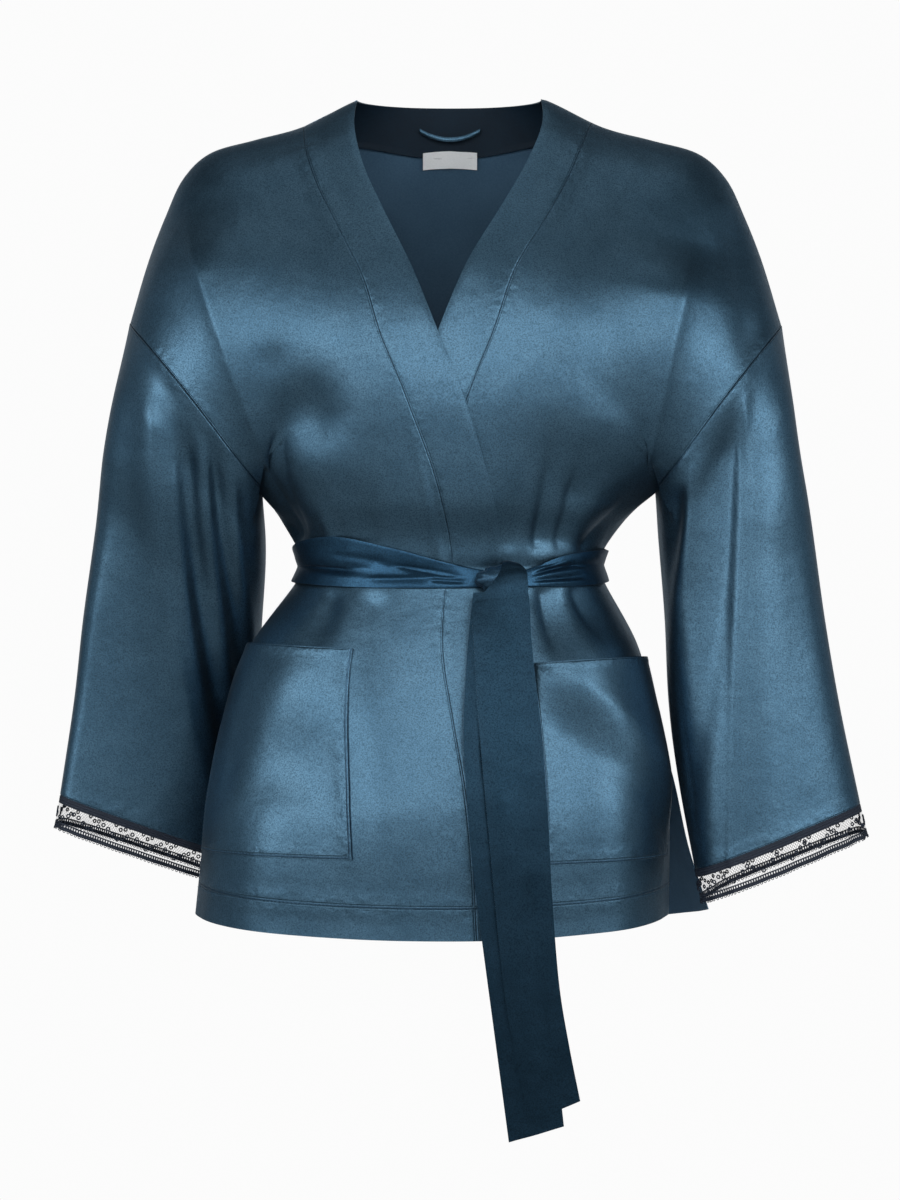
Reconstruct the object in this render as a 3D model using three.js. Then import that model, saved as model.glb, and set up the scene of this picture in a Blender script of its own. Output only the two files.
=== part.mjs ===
import * as THREE from 'three';

// A short satin kimono robe with lace cuffs, worn but hollow, lapped right over left and tied
// with its own belt. Millimetres: +Z is up, the fronts face -Y, the wearer's right is at -X.
// The origin lies midway between the two neck points, where the shoulders carry the robe.

const clothWall = 1.6; // satin of the body, the sleeves and the belt
const trimWall = 1.1; // lace, label and hanger loop
const seamGap = 0.3; // between pieces that are sewn together
const armholeGap = 0.55; // between the sleeve's first ring and the dropped shoulder
const laceDepth = 28; // lace edging below each cuff
const underarmLevel = 6; // level of the underarm, the levels above it end at the armhole
const armholeRise = 6; // how far the armhole seam bows up in front and behind
const neckTopBack = 60; // how far back the neckband's top edge stands
const neckSeamLevel = 2.15; // level of the neckband's seam at the centre of the back
const bandSeamStart = 0.012; // part of its height at which the band's wall starts above that seam
const lapOver = 1.6; // the lapped front stands this much proud where it crosses
const lapUnder = 2.8; // and the front under it lies this much lower
const beltLift = 2.6; // belt's inner face above the body's own surface

const finishes = {
  satin: { color: 0x4a7290, roughness: 0.35 },
  belt: { color: 0x1d3b55, roughness: 0.4 },
  lace: { color: 0x24292f, roughness: 0.8 },
  label: { color: 0xf1f1ee, roughness: 0.6 },
};

// From the shoulder ridge to the hem. Each level is one line round the robe: its points on the
// centre of the front and the back, how much of the shoulder's own line it follows, and how far
// it turns round the body in degrees.
const levels = [
  { frontY: 0, frontZ: 14, backY: 0, backZ: 14, shoulder: 1, turn: 60 },
  { frontY: -30, frontZ: -12, backY: 30, backZ: -6, shoulder: 0.85, turn: 60 },
  { frontY: -56, frontZ: -52, backY: 57, backZ: -34, shoulder: 0.5, turn: 60 },
  { frontY: -82, frontZ: -98, backY: 78, backZ: -82, shoulder: 0.2, turn: 62 },
  { frontY: -102, frontZ: -150, backY: 96, backZ: -140, shoulder: 0, turn: 68 },
  { frontY: -114, frontZ: -205, backY: 106, backZ: -202, shoulder: 0, turn: 78 },
  { frontY: -119, frontZ: -262, backY: 108, backZ: -264, shoulder: 0, turn: 90 },
  { frontY: -110, frontZ: -325, backY: 98, backZ: -325, shoulder: 0, turn: 90 },
  { frontY: -97, frontZ: -385, backY: 86, backZ: -385, shoulder: 0, turn: 90 },
  { frontY: -95, frontZ: -408, backY: 84, backZ: -408, shoulder: 0, turn: 90 },
  { frontY: -109, frontZ: -466, backY: 100, backZ: -465, shoulder: 0, turn: 90 },
  { frontY: -120.5, frontZ: -523, backY: 117, backZ: -523, shoulder: 0, turn: 90 },
  { frontY: -129, frontZ: -580, backY: 128, backZ: -580, shoulder: 0, turn: 90 },
  { frontY: -135, frontZ: -637, backY: 136, backZ: -637, shoulder: 0, turn: 90 },
  { frontY: -140, frontZ: -702, backY: 141, backZ: -702, shoulder: 0, turn: 90 },
];
const hemLevel = levels.length - 1;

// The same levels for the neckband: x of its seams and of its free edges, right and left.
const bandLines = [
  { seamR: -124.5, edgeR: -79, seamL: 122, edgeL: 77.5 },
  { seamR: -121.5, edgeR: -80.5, seamL: 112, edgeL: 77.5 },
  { seamR: -110, edgeR: -71.5, seamL: 98, edgeL: 63.5 },
  { seamR: -90.5, edgeR: -53.5, seamL: 77.5, edgeL: 41 },
  { seamR: -69, edgeR: -31, seamL: 52, edgeL: 13 },
  { seamR: -52.5, edgeR: -10, seamL: 34, edgeL: -9.5 },
  { seamR: -32, edgeR: 12, seamL: 13, edgeL: -29 },
  { seamR: -10.5, edgeR: 31, seamL: -4, edgeL: -43 },
  { seamR: 1.5, edgeR: 42, seamL: -12, edgeL: -50 },
  { seamR: -3, edgeR: 36, seamL: -13, edgeL: -51 },
  { seamR: -6, edgeR: 31.5, seamL: -12, edgeL: -50 },
  { seamR: 2.3, edgeR: 39.7, seamL: -10, edgeL: -48 },
  { seamR: 12, edgeR: 49.5, seamL: -8, edgeL: -46 },
  { seamR: 18, edgeR: 55.5, seamL: -7, edgeL: -45 },
  { seamR: 22, edgeR: 59.5, seamL: -6, edgeL: -44 },
];

// Facets of the panels. Neighbours share their rows, so that sewn edges run side by side.
const panelRows = 28;
const frontColumns = 17;
const backOuterColumns = 8; // from each side to the neck
const backNeckColumns = 14;
const armholeColumns = 24;
const bandColumns = 3; // across a neckband
const sleeveRows = 17;
const laceRows = 2;
const beltColumns = 48; // once round the waist
const beltRows = 3;
const tailColumns = 3;
const knotColumns = 20;
const knotRows = 12;
const labelColumns = 6;
const loopColumns = 10;

// The shoulder line from the neck to the top of the armhole, as parts of its width and its drop.
const shoulderLine = [
  { across: 0, down: 0 },
  { across: 0.15, down: 0.02 },
  { across: 0.29, down: 0.069 },
  { across: 0.46, down: 0.18 },
  { across: 0.61, down: 0.235 },
  { across: 0.75, down: 0.29 },
  { across: 0.835, down: 0.395 },
  { across: 0.89, down: 0.55 },
  { across: 0.945, down: 0.745 },
  { across: 1, down: 1 },
];

// Side seams from the underarm to the hem. The left one opens in a vent: its front edge hangs
// ventIn nearer the centre and ventForward in front of the back's edge.
const sideSeams = [
  { rightX: -159, leftX: 174, z: -333, rightY: 0, leftY: 0, ventIn: 0, ventForward: 0 },
  { rightX: -143, leftX: 148, z: -358, rightY: 0, leftY: 0, ventIn: 0, ventForward: 0 },
  { rightX: -127, leftX: 128, z: -388, rightY: 0, leftY: 0, ventIn: 0, ventForward: 0 },
  { rightX: -129, leftX: 130, z: -407, rightY: 0, leftY: 0, ventIn: 0, ventForward: 0 },
  { rightX: -169, leftX: 159.5, z: -463, rightY: -6, leftY: 2, ventIn: 0, ventForward: 0 },
  { rightX: -191.5, leftX: 174.5, z: -521, rightY: -12, leftY: 4, ventIn: 0, ventForward: 0 },
  { rightX: -204, leftX: 191, z: -579, rightY: -16, leftY: 7, ventIn: 6, ventForward: 13 },
  { rightX: -209.5, leftX: 203.5, z: -635, rightY: -18, leftY: 11, ventIn: 18, ventForward: 27 },
  { rightX: -215, leftX: 221, z: -689, rightY: -20, leftY: 14, ventIn: 36, ventForward: 32 },
];

// Rings of each sleeve from the armhole to the cuff: its outer and its inner point, half depth.
const sleeves = {
  right: [
    { outerX: -271, outerY: 0, outerZ: -190, innerX: -159, innerY: 0, innerZ: -333, halfDepth: 75 },
    { outerX: -291, outerY: 3, outerZ: -289, innerX: -157.5, innerY: 14, innerZ: -386, halfDepth: 66 },
    { outerX: -301, outerY: 9, outerZ: -365, innerX: -162.5, innerY: 50, innerZ: -442, halfDepth: 60 },
    { outerX: -312, outerY: 14, outerZ: -441, innerX: -168, innerY: 70, innerZ: -508, halfDepth: 56 },
    { outerX: -320, outerY: 17, outerZ: -510, innerX: -174, innerY: 82, innerZ: -577, halfDepth: 52 },
    { outerX: -332, outerY: 18, outerZ: -590, innerX: -181, innerY: 90, innerZ: -648, halfDepth: 48 },
  ],
  left: [
    { outerX: 281, outerY: 0, outerZ: -192, innerX: 174, innerY: 0, innerZ: -333, halfDepth: 75 },
    { outerX: 293.5, outerY: -2, outerZ: -289, innerX: 178, innerY: -8, innerZ: -386, halfDepth: 66 },
    { outerX: 306, outerY: -4, outerZ: -365, innerX: 182, innerY: -16, innerZ: -442, halfDepth: 60 },
    { outerX: 316.5, outerY: -6, outerZ: -441, innerX: 185, innerY: -24, innerZ: -510, halfDepth: 56 },
    { outerX: 329, outerY: -8, outerZ: -515, innerX: 193, innerY: -32, innerZ: -580, halfDepth: 52 },
    { outerX: 346, outerY: -8, outerZ: -596, innerX: 205, innerY: -40, innerZ: -650, halfDepth: 48 },
  ],
};

// Folds as seen from in front: a line from its upper to its lower end, bowed sideways, with the
// fold's width to one side and its height, which is less than zero in a trough.
const frontFolds = [
  { x0: -200, z0: -140, x1: -155, z1: -338, bow: 3, width: 9, height: 8 },
  { x0: -211, z0: -148, x1: -166, z1: -322, bow: 3, width: 8, height: -8 },
  { x0: -145, z0: -200, x1: -120, z1: -380, bow: -4, width: 9, height: -5 },
  { x0: -155, z0: -270, x1: -122, z1: -376, bow: 3, width: 8, height: 5 },
  { x0: -118, z0: -225, x1: -98, z1: -372, bow: -4, width: 16, height: -6 },
  { x0: -70, z0: -300, x1: -66, z1: -380, bow: 2, width: 10, height: -4 },
  { x0: -95, z0: -414, x1: -126, z1: -478, bow: 4, width: 8, height: -5 },
  { x0: -62, z0: -416, x1: -74, z1: -520, bow: 3, width: 9, height: -4 },
  { x0: -30, z0: -416, x1: -38, z1: -500, bow: 2, width: 8, height: -4 },
  { x0: -142, z0: -470, x1: -166, z1: -720, bow: 4, width: 22, height: 6 },
  { x0: -98, z0: -480, x1: -112, z1: -720, bow: -4, width: 20, height: -6 },
  { x0: -48, z0: -500, x1: -54, z1: -720, bow: 3, width: 18, height: 5 },
  { x0: 206, z0: -160, x1: 170, z1: -245, bow: -6, width: 9, height: -8 },
  { x0: 171, z0: -225, x1: 169, z1: -338, bow: 0, width: 9, height: -8 },
  { x0: 158, z0: -195, x1: 156, z1: -325, bow: -3, width: 9, height: 6 },
  { x0: 236, z0: -78, x1: 247, z1: -222, bow: 5, width: 9, height: -6 },
  { x0: 94, z0: -285, x1: 87, z1: -388, bow: -2, width: 8, height: -5 },
  { x0: 115, z0: -225, x1: 106, z1: -380, bow: 4, width: 14, height: -5 },
  { x0: 72, z0: -214, x1: 66, z1: -385, bow: -3, width: 12, height: -4 },
  { x0: 76, z0: -414, x1: 95, z1: -485, bow: -3, width: 8, height: -5 },
  { x0: 104, z0: -414, x1: 130, z1: -470, bow: -3, width: 8, height: -5 },
  { x0: 92, z0: -470, x1: 104, z1: -720, bow: 4, width: 19, height: -6 },
  { x0: 134, z0: -480, x1: 148, z1: -720, bow: -4, width: 18, height: 6 },
];
const backFolds = [
  { x0: -198, z0: -140, x1: -156, z1: -336, bow: -3, width: 9, height: 7 },
  { x0: -210, z0: -150, x1: -167, z1: -325, bow: -3, width: 8, height: -8 },
  { x0: -120, z0: -220, x1: -104, z1: -385, bow: 4, width: 14, height: -6 },
  { x0: -64, z0: -250, x1: -58, z1: -388, bow: -3, width: 12, height: -5 },
  { x0: -12, z0: -210, x1: -8, z1: -388, bow: 3, width: 15, height: -4 },
  { x0: 40, z0: -270, x1: 38, z1: -388, bow: 2, width: 10, height: -5 },
  { x0: 96, z0: -240, x1: 84, z1: -386, bow: -3, width: 13, height: -6 },
  { x0: 168, z0: -160, x1: 166, z1: -330, bow: 4, width: 9, height: -8 },
  { x0: 180, z0: -150, x1: 178, z1: -318, bow: 4, width: 9, height: 7 },
  { x0: -96, z0: -414, x1: -120, z1: -500, bow: 3, width: 9, height: -5 },
  { x0: -40, z0: -414, x1: -50, z1: -520, bow: -2, width: 9, height: -5 },
  { x0: 10, z0: -414, x1: 14, z1: -530, bow: 2, width: 10, height: -4 },
  { x0: 60, z0: -414, x1: 76, z1: -510, bow: -3, width: 9, height: -5 },
  { x0: 104, z0: -414, x1: 130, z1: -490, bow: -2, width: 9, height: -5 },
  { x0: -150, z0: -480, x1: -168, z1: -720, bow: 4, width: 20, height: 6 },
  { x0: -80, z0: -490, x1: -94, z1: -720, bow: -4, width: 20, height: -7 },
  { x0: -20, z0: -500, x1: -18, z1: -720, bow: 3, width: 20, height: 6 },
  { x0: 50, z0: -500, x1: 58, z1: -720, bow: -3, width: 19, height: -6 },
  { x0: 116, z0: -490, x1: 134, z1: -720, bow: 3, width: 20, height: 6 },
];
const sleeveFolds = {
  rightFront: [
    { x0: -247, z0: -205, x1: -243, z1: -430, bow: -2, width: 9, height: -7 },
    { x0: -243, z0: -400, x1: -208, z1: -650, bow: 4, width: 10, height: -6 },
    { x0: -236, z0: -240, x1: -211, z1: -530, bow: -3, width: 9, height: 6 },
    { x0: -199, z0: -275, x1: -195, z1: -420, bow: 2, width: 8, height: -5 },
    { x0: -282, z0: -330, x1: -298, z1: -620, bow: 3, width: 14, height: -5 },
    { x0: -264, z0: -300, x1: -272, z1: -600, bow: -3, width: 12, height: 4 },
  ],
  rightBack: [
    { x0: -250, z0: -215, x1: -262, z1: -620, bow: 4, width: 12, height: -7 },
    { x0: -222, z0: -250, x1: -228, z1: -620, bow: -3, width: 11, height: 5 },
    { x0: -196, z0: -290, x1: -198, z1: -560, bow: 3, width: 10, height: -6 },
    { x0: -288, z0: -320, x1: -304, z1: -610, bow: -2, width: 12, height: -5 },
  ],
  leftFront: [
    { x0: 234, z0: -235, x1: 204, z1: -530, bow: -3, width: 9, height: -6 },
    { x0: 246, z0: -225, x1: 240, z1: -450, bow: 2, width: 9, height: 6 },
    { x0: 206, z0: -280, x1: 197, z1: -400, bow: -2, width: 8, height: 4 },
    { x0: 268, z0: -300, x1: 286, z1: -640, bow: 4, width: 13, height: -5 },
    { x0: 296, z0: -350, x1: 318, z1: -630, bow: -3, width: 12, height: 4 },
    { x0: 236, z0: -430, x1: 246, z1: -650, bow: 3, width: 12, height: -4 },
  ],
  leftBack: [
    { x0: 252, z0: -215, x1: 272, z1: -620, bow: -4, width: 12, height: -7 },
    { x0: 228, z0: -250, x1: 240, z1: -620, bow: 3, width: 11, height: 5 },
    { x0: 206, z0: -290, x1: 212, z1: -570, bow: -3, width: 10, height: -6 },
    { x0: 290, z0: -320, x1: 314, z1: -610, bow: 3, width: 12, height: -5 },
  ],
};

// Where the folds of the body and the sleeves die out.
const foldFades = {
  side: 0.12, // part of the reach beside a side seam
  ridge: 1.2, // levels from the shoulder ridge
  beltZ: -400, // the belt presses them down about this height
  beltSpread: 13,
  beltPress: 0.75,
  sleeveEdge: 0.35, // sine of the angle from the sleeve's outer and inner line
  sleeveTop: 0.6, // rows below the armhole
};

// The bust and the shoulder blades, as soft round swells of a general figure.
const swells = [
  { face: 1, x: -78, z: -205, wide: 48, high: 62, height: 15 },
  { face: 1, x: 78, z: -205, wide: 48, high: 62, height: 15 },
  { face: -1, x: -75, z: -170, wide: 48, high: 60, height: 7 },
  { face: -1, x: 75, z: -170, wide: 48, high: 60, height: 7 },
];

// The belt's upper and lower edge in front. It is bunched narrow where it meets the knot.
const beltFront = [
  { across: -1, top: -380, bottom: -411 },
  { across: -0.75, top: -374, bottom: -413 },
  { across: -0.5, top: -371.5, bottom: -415 },
  { across: -0.25, top: -381, bottom: -416 },
  { across: 0, top: -394, bottom: -416 },
  { across: 0.25, top: -403, bottom: -415 },
  { across: 0.5, top: -388, bottom: -415 },
  { across: 0.75, top: -382, bottom: -413 },
  { across: 1, top: -381, bottom: -410 },
];
const beltBack = { top: -374, bottom: -417 };

const beltSide = 0.4; // part of the reach over which the edges pass from the front's to the back's

const knot = {
  x: 41,
  y: -106.4,
  z: -408,
  halfWidth: 21,
  halfDepth: 10.5,
  halfHeight: 12,
  lobes: 5,
  lobeHeight: 0.05,
};

// The tails from the knot to their slanting ends: x of both edges, y, and z of both edges.
const tailFront = [
  { leftX: 32, rightX: 56, y: -101, leftZ: -394, rightZ: -394 },
  { leftX: 27, rightX: 61, y: -108.6, leftZ: -394.4, rightZ: -394.4 },
  { leftX: 22, rightX: 63, y: -116.1, leftZ: -401, rightZ: -401 },
  { leftX: 18, rightX: 63, y: -120.5, leftZ: -424, rightZ: -420 },
  { leftX: 19.4, rightX: 66.7, y: -132, leftZ: -463, rightZ: -463 },
  { leftX: 23.4, rightX: 73.5, y: -146, leftZ: -528, rightZ: -528 },
  { leftX: 30, rightX: 79, y: -155, leftZ: -602, rightZ: -602 },
  { leftX: 36, rightX: 82.5, y: -158, leftZ: -668, rightZ: -668 },
  { leftX: 43, rightX: 88, y: -158, leftZ: -735, rightZ: -735 },
  { leftX: 52, rightX: 96, y: -156, leftZ: -790, rightZ: -784 },
  { leftX: 64.5, rightX: 105, y: -153, leftZ: -846, rightZ: -829 },
];
const tailBack = [
  { leftX: 19, rightX: 56, y: -110.2, leftZ: -419.2, rightZ: -419.2 },
  { leftX: 13.7, rightX: 59, y: -123, leftZ: -472, rightZ: -472 },
  { leftX: 11, rightX: 59, y: -135, leftZ: -532, rightZ: -532 },
  { leftX: 13, rightX: 61, y: -145, leftZ: -580, rightZ: -580 },
  { leftX: 18, rightX: 66, y: -151, leftZ: -640, rightZ: -640 },
  { leftX: 26, rightX: 74, y: -153, leftZ: -702, rightZ: -702 },
  { leftX: 34, rightX: 82, y: -152.5, leftZ: -762, rightZ: -760 },
  { leftX: 47.5, rightX: 92, y: -149, leftZ: -863, rightZ: -850 },
];

// Pockets, in columns and rows of the front that carries them.
const pockets = {
  right: { topRow: 20, bottomRow: 26, innerColumn: 5, outerColumn: 16 },
  left: { topRow: 20.4, bottomRow: 26.15, innerColumn: 5, outerColumn: 15 },
};
const pocketWall = 1.4;
const pocketGap = 0.7; // between a pocket and its front

const label = { halfWidth: 23.5, top: -35.5, bottom: -49.5 };
const loop = { halfWidth: 26, endZ: -17, sag: 8, height: 4, standOff: 7 };
const neckbandHeight = 38; // at the centre of the back

// Where the fronts part: the levels over which they come apart, and the x where each one has
// started to and where it is fully apart.
const lap = { topLevel: 3.6, fullLevel: 5.2, rightStart: -110, rightFull: -50, leftFull: 55, leftEnd: 105 };

// Rows of a sleeve below the armhole over which it leaves the body's edge, and over which its
// rings stop bowing up. The levels over which its lean passes from the body's to its own.
const sewnRows = 0.8;
const bowedRows = 1.5;
const leanLevels = { full: 3.6, none: 5.4 };
const halvings = 40; // steps in a search by halving
const smallStep = 0.01; // for the direction of a surface

const { lerp, smoothstep, degToRad } = THREE.MathUtils;
const vector = (x, y, z) => new THREE.Vector3(x, y, z);

// A table's column at a place between its rows, smooth through every row.
function column(rows, name, place) {
  const last = rows.length - 1;
  const from = Math.min(Math.max(Math.floor(place), 0), last - 1);
  const part = Math.min(Math.max(place, 0), last) - from;
  const here = rows[from][name];
  const next = rows[from + 1][name];
  const before = from > 0 ? rows[from - 1][name] : 2 * here - next;
  const after = from + 2 <= last ? rows[from + 2][name] : 2 * next - here;
  const slopeHere = (next - before) / 2;
  const slopeNext = (after - here) / 2;
  const square = part * part;
  const cube = square * part;
  return (2 * cube - 3 * square + 1) * here + (cube - 2 * square + part) * slopeHere
    + (3 * square - 2 * cube) * next + (cube - square) * slopeNext;
}

// The lines down the centre of the back and of the front, joined over the shoulder ridge.
const centreRows = [
  ...levels.slice(1).reverse().map((row) => ({ ...row, y: row.backY, z: row.backZ })),
  ...levels.map((row) => ({ ...row, y: row.frontY, z: row.frontZ })),
];
const centre = (name, level) => column(centreRows, name, level + hemLevel);
const bandX = (name, level) => column(bandLines, name, level);

function armholePoint(hand, angle) {
  const ring = sleeves[hand < 0 ? 'right' : 'left'][0];
  const along = Math.cos(angle);
  return vector(
    lerp(ring.innerX, ring.outerX, (1 + along) / 2),
    -ring.halfDepth * Math.sin(angle),
    lerp(ring.innerZ, ring.outerZ, (1 + along) / 2) + armholeRise * Math.sin(angle) ** 2,
  );
}

// Where a level ends: on the armhole, or below it on the side seam. Levels of the back are
// negative. hand is -1 on the wearer's right and 1 on the left.
function sidePoint(hand, level) {
  if (Math.abs(level) <= underarmLevel) return armholePoint(hand, (level / underarmLevel) * Math.PI);
  const place = Math.abs(level) - underarmLevel;
  const vent = hand > 0 && level > 0 ? 1 : 0;
  const ventIn = vent * Math.max(column(sideSeams, 'ventIn', place), 0);
  const ventForward = vent * Math.max(column(sideSeams, 'ventForward', place), 0);
  return vector(
    column(sideSeams, hand < 0 ? 'rightX' : 'leftX', place) - ventIn,
    column(sideSeams, hand < 0 ? 'rightY' : 'leftY', place) - ventForward,
    column(sideSeams, 'z', place),
  );
}

// The body's smooth surface. reach runs from -1 at the right side over 0 at the centre to 1.
function smoothBody(reach, level) {
  const side = sidePoint(reach < 0 ? -1 : 1, level);
  const turn = degToRad(centre('turn', level));
  const shoulder = centre('shoulder', level);
  const place = Math.abs(reach);
  const lineRow = place * (shoulderLine.length - 1);
  const across = lerp(
    Math.sin(place * turn) / Math.sin(turn),
    column(shoulderLine, 'across', lineRow),
    shoulder,
  );
  const down = lerp(
    (1 - Math.cos(place * turn)) / (1 - Math.cos(turn)),
    column(shoulderLine, 'down', lineRow),
    shoulder,
  );
  return vector(
    side.x * across,
    lerp(centre('y', level), side.y, down),
    lerp(centre('z', level), side.z, down),
  );
}

function bodyNormal(reach, level) {
  const step = 0.004;
  const along = smoothBody(Math.min(reach + step, 1), level)
    .sub(smoothBody(Math.max(reach - step, -1), level));
  const down = smoothBody(reach, Math.min(level + step, hemLevel))
    .sub(smoothBody(reach, Math.max(level - step, -hemLevel)));
  const normal = down.cross(along).normalize();
  // The two panels end edge to edge at a side seam, so their walls run straight in there.
  if (Math.abs(level) >= underarmLevel) normal.y *= smoothstep(1 - Math.abs(reach), 0, 0.1);
  return normal.normalize();
}

// A fold is a bell-shaped ridge or trough along its bowed line, and dies out at both ends.
function foldHeight(folds, x, z) {
  let height = 0;
  for (const fold of folds) {
    const lineX = fold.x1 - fold.x0;
    const lineZ = fold.z1 - fold.z0;
    const length = Math.hypot(lineX, lineZ);
    const place = ((x - fold.x0) * lineX + (z - fold.z0) * lineZ) / length ** 2;
    if (place <= 0 || place >= 1) continue;
    const bow = fold.bow * Math.sin(Math.PI * place);
    const aside = ((x - fold.x0) * lineZ - (z - fold.z0) * lineX) / length + bow;
    height += fold.height * Math.sqrt(Math.sin(Math.PI * place))
      * Math.exp(-0.5 * (aside / fold.width) ** 2);
  }
  return height;
}

function swellHeight(face, x, z) {
  return swells
    .filter((swell) => swell.face === face)
    .reduce((sum, swell) => sum + swell.height
      * Math.exp(-0.5 * (((x - swell.x) / swell.wide) ** 2 + ((z - swell.z) / swell.high) ** 2)), 0);
}

// A point of the body moved out by lift. Folds die out at the side seams and on the ridge, and
// under the belt they are pressed flat.
function bodyPoint(reach, level, lift = 0) {
  const point = smoothBody(reach, level);
  const face = level < 0 ? -1 : 1;
  const belowArmhole = Math.abs(level) > underarmLevel - 1;
  const nearSide = belowArmhole ? smoothstep(1 - Math.abs(reach), 0, foldFades.side) : 1;
  const nearRidge = smoothstep(Math.abs(level), 0, foldFades.ridge);
  const fromBelt = (point.z - foldFades.beltZ) / foldFades.beltSpread;
  const nearBelt = 1 - foldFades.beltPress * Math.exp(-0.5 * fromBelt ** 2);
  const folds = foldHeight(face > 0 ? frontFolds : backFolds, point.x, point.z);
  const height = (folds * nearBelt + swellHeight(face, point.x, point.z)) * nearSide * nearRidge;
  return point.addScaledVector(bodyNormal(reach, level), height + lift);
}

// The place on a level that has a given x, found by halving.
function reachAt(level, x) {
  let low = -1;
  let high = 1;
  for (let step = 0; step < halvings; step += 1) {
    const middle = (low + high) / 2;
    if (smoothBody(middle, level).x < x) low = middle;
    else high = middle;
  }
  return (low + high) / 2;
}

// The level of one face, 1 in front and -1 behind, whose point at this reach has a given z.
function levelAt(reach, z, face) {
  let low = 0;
  let high = hemLevel;
  for (let step = 0; step < halvings; step += 1) {
    const middle = (low + high) / 2;
    if (smoothBody(reach, face * middle).z > z) low = middle;
    else high = middle;
  }
  return (face * (low + high)) / 2;
}

// The two fronts part by a few millimetres where they lap, from above the crossing to the hem.
function lapLift(hand, level, x) {
  const crossing = smoothstep(level, lap.topLevel, lap.fullLevel);
  return hand < 0
    ? lapOver * crossing * smoothstep(x, lap.rightStart, lap.rightFull)
    : -lapUnder * crossing * (1 - smoothstep(x, lap.leftFull, lap.leftEnd));
}

function sleeveRing(rows, place, angle) {
  const row = (name) => column(rows, name, place);
  const along = (1 + Math.cos(angle)) / 2;
  const rise = armholeRise * Math.sin(angle) ** 2 * (1 - smoothstep(place, 0, bowedRows));
  return vector(
    lerp(row('innerX'), row('outerX'), along),
    lerp(row('innerY'), row('outerY'), along) - row('halfDepth') * Math.sin(angle),
    lerp(row('innerZ'), row('outerZ'), along) + rise,
  );
}

// A point of a sleeve: angle 0 at its outer line, 90 degrees in front and 180 at the underarm,
// place in rows of its table. past is how far below the cuff it lies.
function sleevePoint(hand, angle, place, past, depth) {
  const name = hand < 0 ? 'right' : 'left';
  const rows = sleeves[name];
  const step = smallStep;
  const base = sleeveRing(rows, place, angle);
  const back = Math.min(place, rows.length - 1 - step);
  const down = sleeveRing(rows, back + step, angle).sub(sleeveRing(rows, back, angle)).normalize();
  const around = sleeveRing(rows, place, angle + step)
    .sub(sleeveRing(rows, place, angle - step)).normalize();
  const normal = around.clone().cross(down).multiplyScalar(hand).normalize();
  const face = Math.sin(angle) >= 0 ? 'Front' : 'Back';
  const edge = Math.min(Math.abs(Math.sin(angle)) / foldFades.sleeveEdge, 1);
  const folds = foldHeight(sleeveFolds[name + face], base.x, base.z) * edge
    * smoothstep(place, 0, foldFades.sleeveTop);
  // The first rings take up the shape and the lean of the body's edge at the armhole.
  const level = (Math.atan2(Math.sin(angle), Math.cos(angle)) / Math.PI) * underarmLevel;
  const sewn = 1 - smoothstep(place, 0, sewnRows);
  const bodyEdge = bodyPoint(hand, level);
  const lean = 1 - smoothstep(Math.abs(level), leanLevels.full, leanLevels.none);
  normal.lerp(bodyNormal(hand, level), sewn * lean).normalize();
  const ring = sleeveRing(rows, 0, angle);
  return base
    .addScaledVector(bodyEdge.sub(ring), sewn)
    .addScaledVector(vector(hand, 0, -0.5).normalize(), armholeGap * sewn)
    .addScaledVector(down, past)
    .addScaledVector(normal, folds - depth);
}

// A closed wall between an outer and an inner grid of points. at(u, v, layer) gives a point, with
// layer 0 outside and 1 inside. A tube closes on itself along u.
function wallGeometry(across, along, at, tube = false) {
  const columns = tube ? across : across + 1;
  const perLayer = columns * (along + 1);
  const points = [];
  for (let layer = 0; layer < 2; layer += 1) {
    for (let j = 0; j <= along; j += 1) {
      for (let i = 0; i < columns; i += 1) points.push(...at(i / across, j / along, layer).toArray());
    }
  }
  const index = (i, j, layer) => layer * perLayer + j * columns + (tube ? i % across : i);
  const faces = [];
  const quad = (a, b, c, d) => faces.push(a, b, c, a, c, d);
  for (let j = 0; j < along; j += 1) {
    for (let i = 0; i < across; i += 1) {
      quad(index(i, j, 0), index(i + 1, j, 0), index(i + 1, j + 1, 0), index(i, j + 1, 0));
      quad(index(i, j, 1), index(i, j + 1, 1), index(i + 1, j + 1, 1), index(i + 1, j, 1));
    }
  }
  for (let i = 0; i < across; i += 1) {
    quad(index(i, 0, 0), index(i, 0, 1), index(i + 1, 0, 1), index(i + 1, 0, 0));
    quad(index(i, along, 0), index(i + 1, along, 0), index(i + 1, along, 1), index(i, along, 1));
  }
  for (let j = 0; j < along && !tube; j += 1) {
    quad(index(0, j, 0), index(0, j + 1, 0), index(0, j + 1, 1), index(0, j, 1));
    quad(index(across, j, 0), index(across, j, 1), index(across, j + 1, 1), index(across, j + 1, 0));
  }
  return facingOut(points, faces);
}

// Turns the faces round where their volume comes out negative.
function facingOut(points, faces) {
  const corner = (n) => vector(points[3 * n], points[3 * n + 1], points[3 * n + 2]);
  let volume = 0;
  for (let n = 0; n < faces.length; n += 3) {
    volume += corner(faces[n]).dot(corner(faces[n + 1]).cross(corner(faces[n + 2])));
  }
  const turned = volume < 0 ? faces.slice().reverse() : faces;
  const geometry = new THREE.BufferGeometry();
  geometry.setAttribute('position', new THREE.Float32BufferAttribute(points, 3));
  geometry.setIndex(turned);
  geometry.computeVertexNormals();
  return geometry;
}

const robe = new THREE.Group();

function addPiece(name, geometry, finish) {
  const material = new THREE.MeshStandardMaterial({ ...finish, metalness: 0 });
  const piece = new THREE.Mesh(geometry, material);
  piece.name = name;
  robe.add(piece);
}

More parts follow.
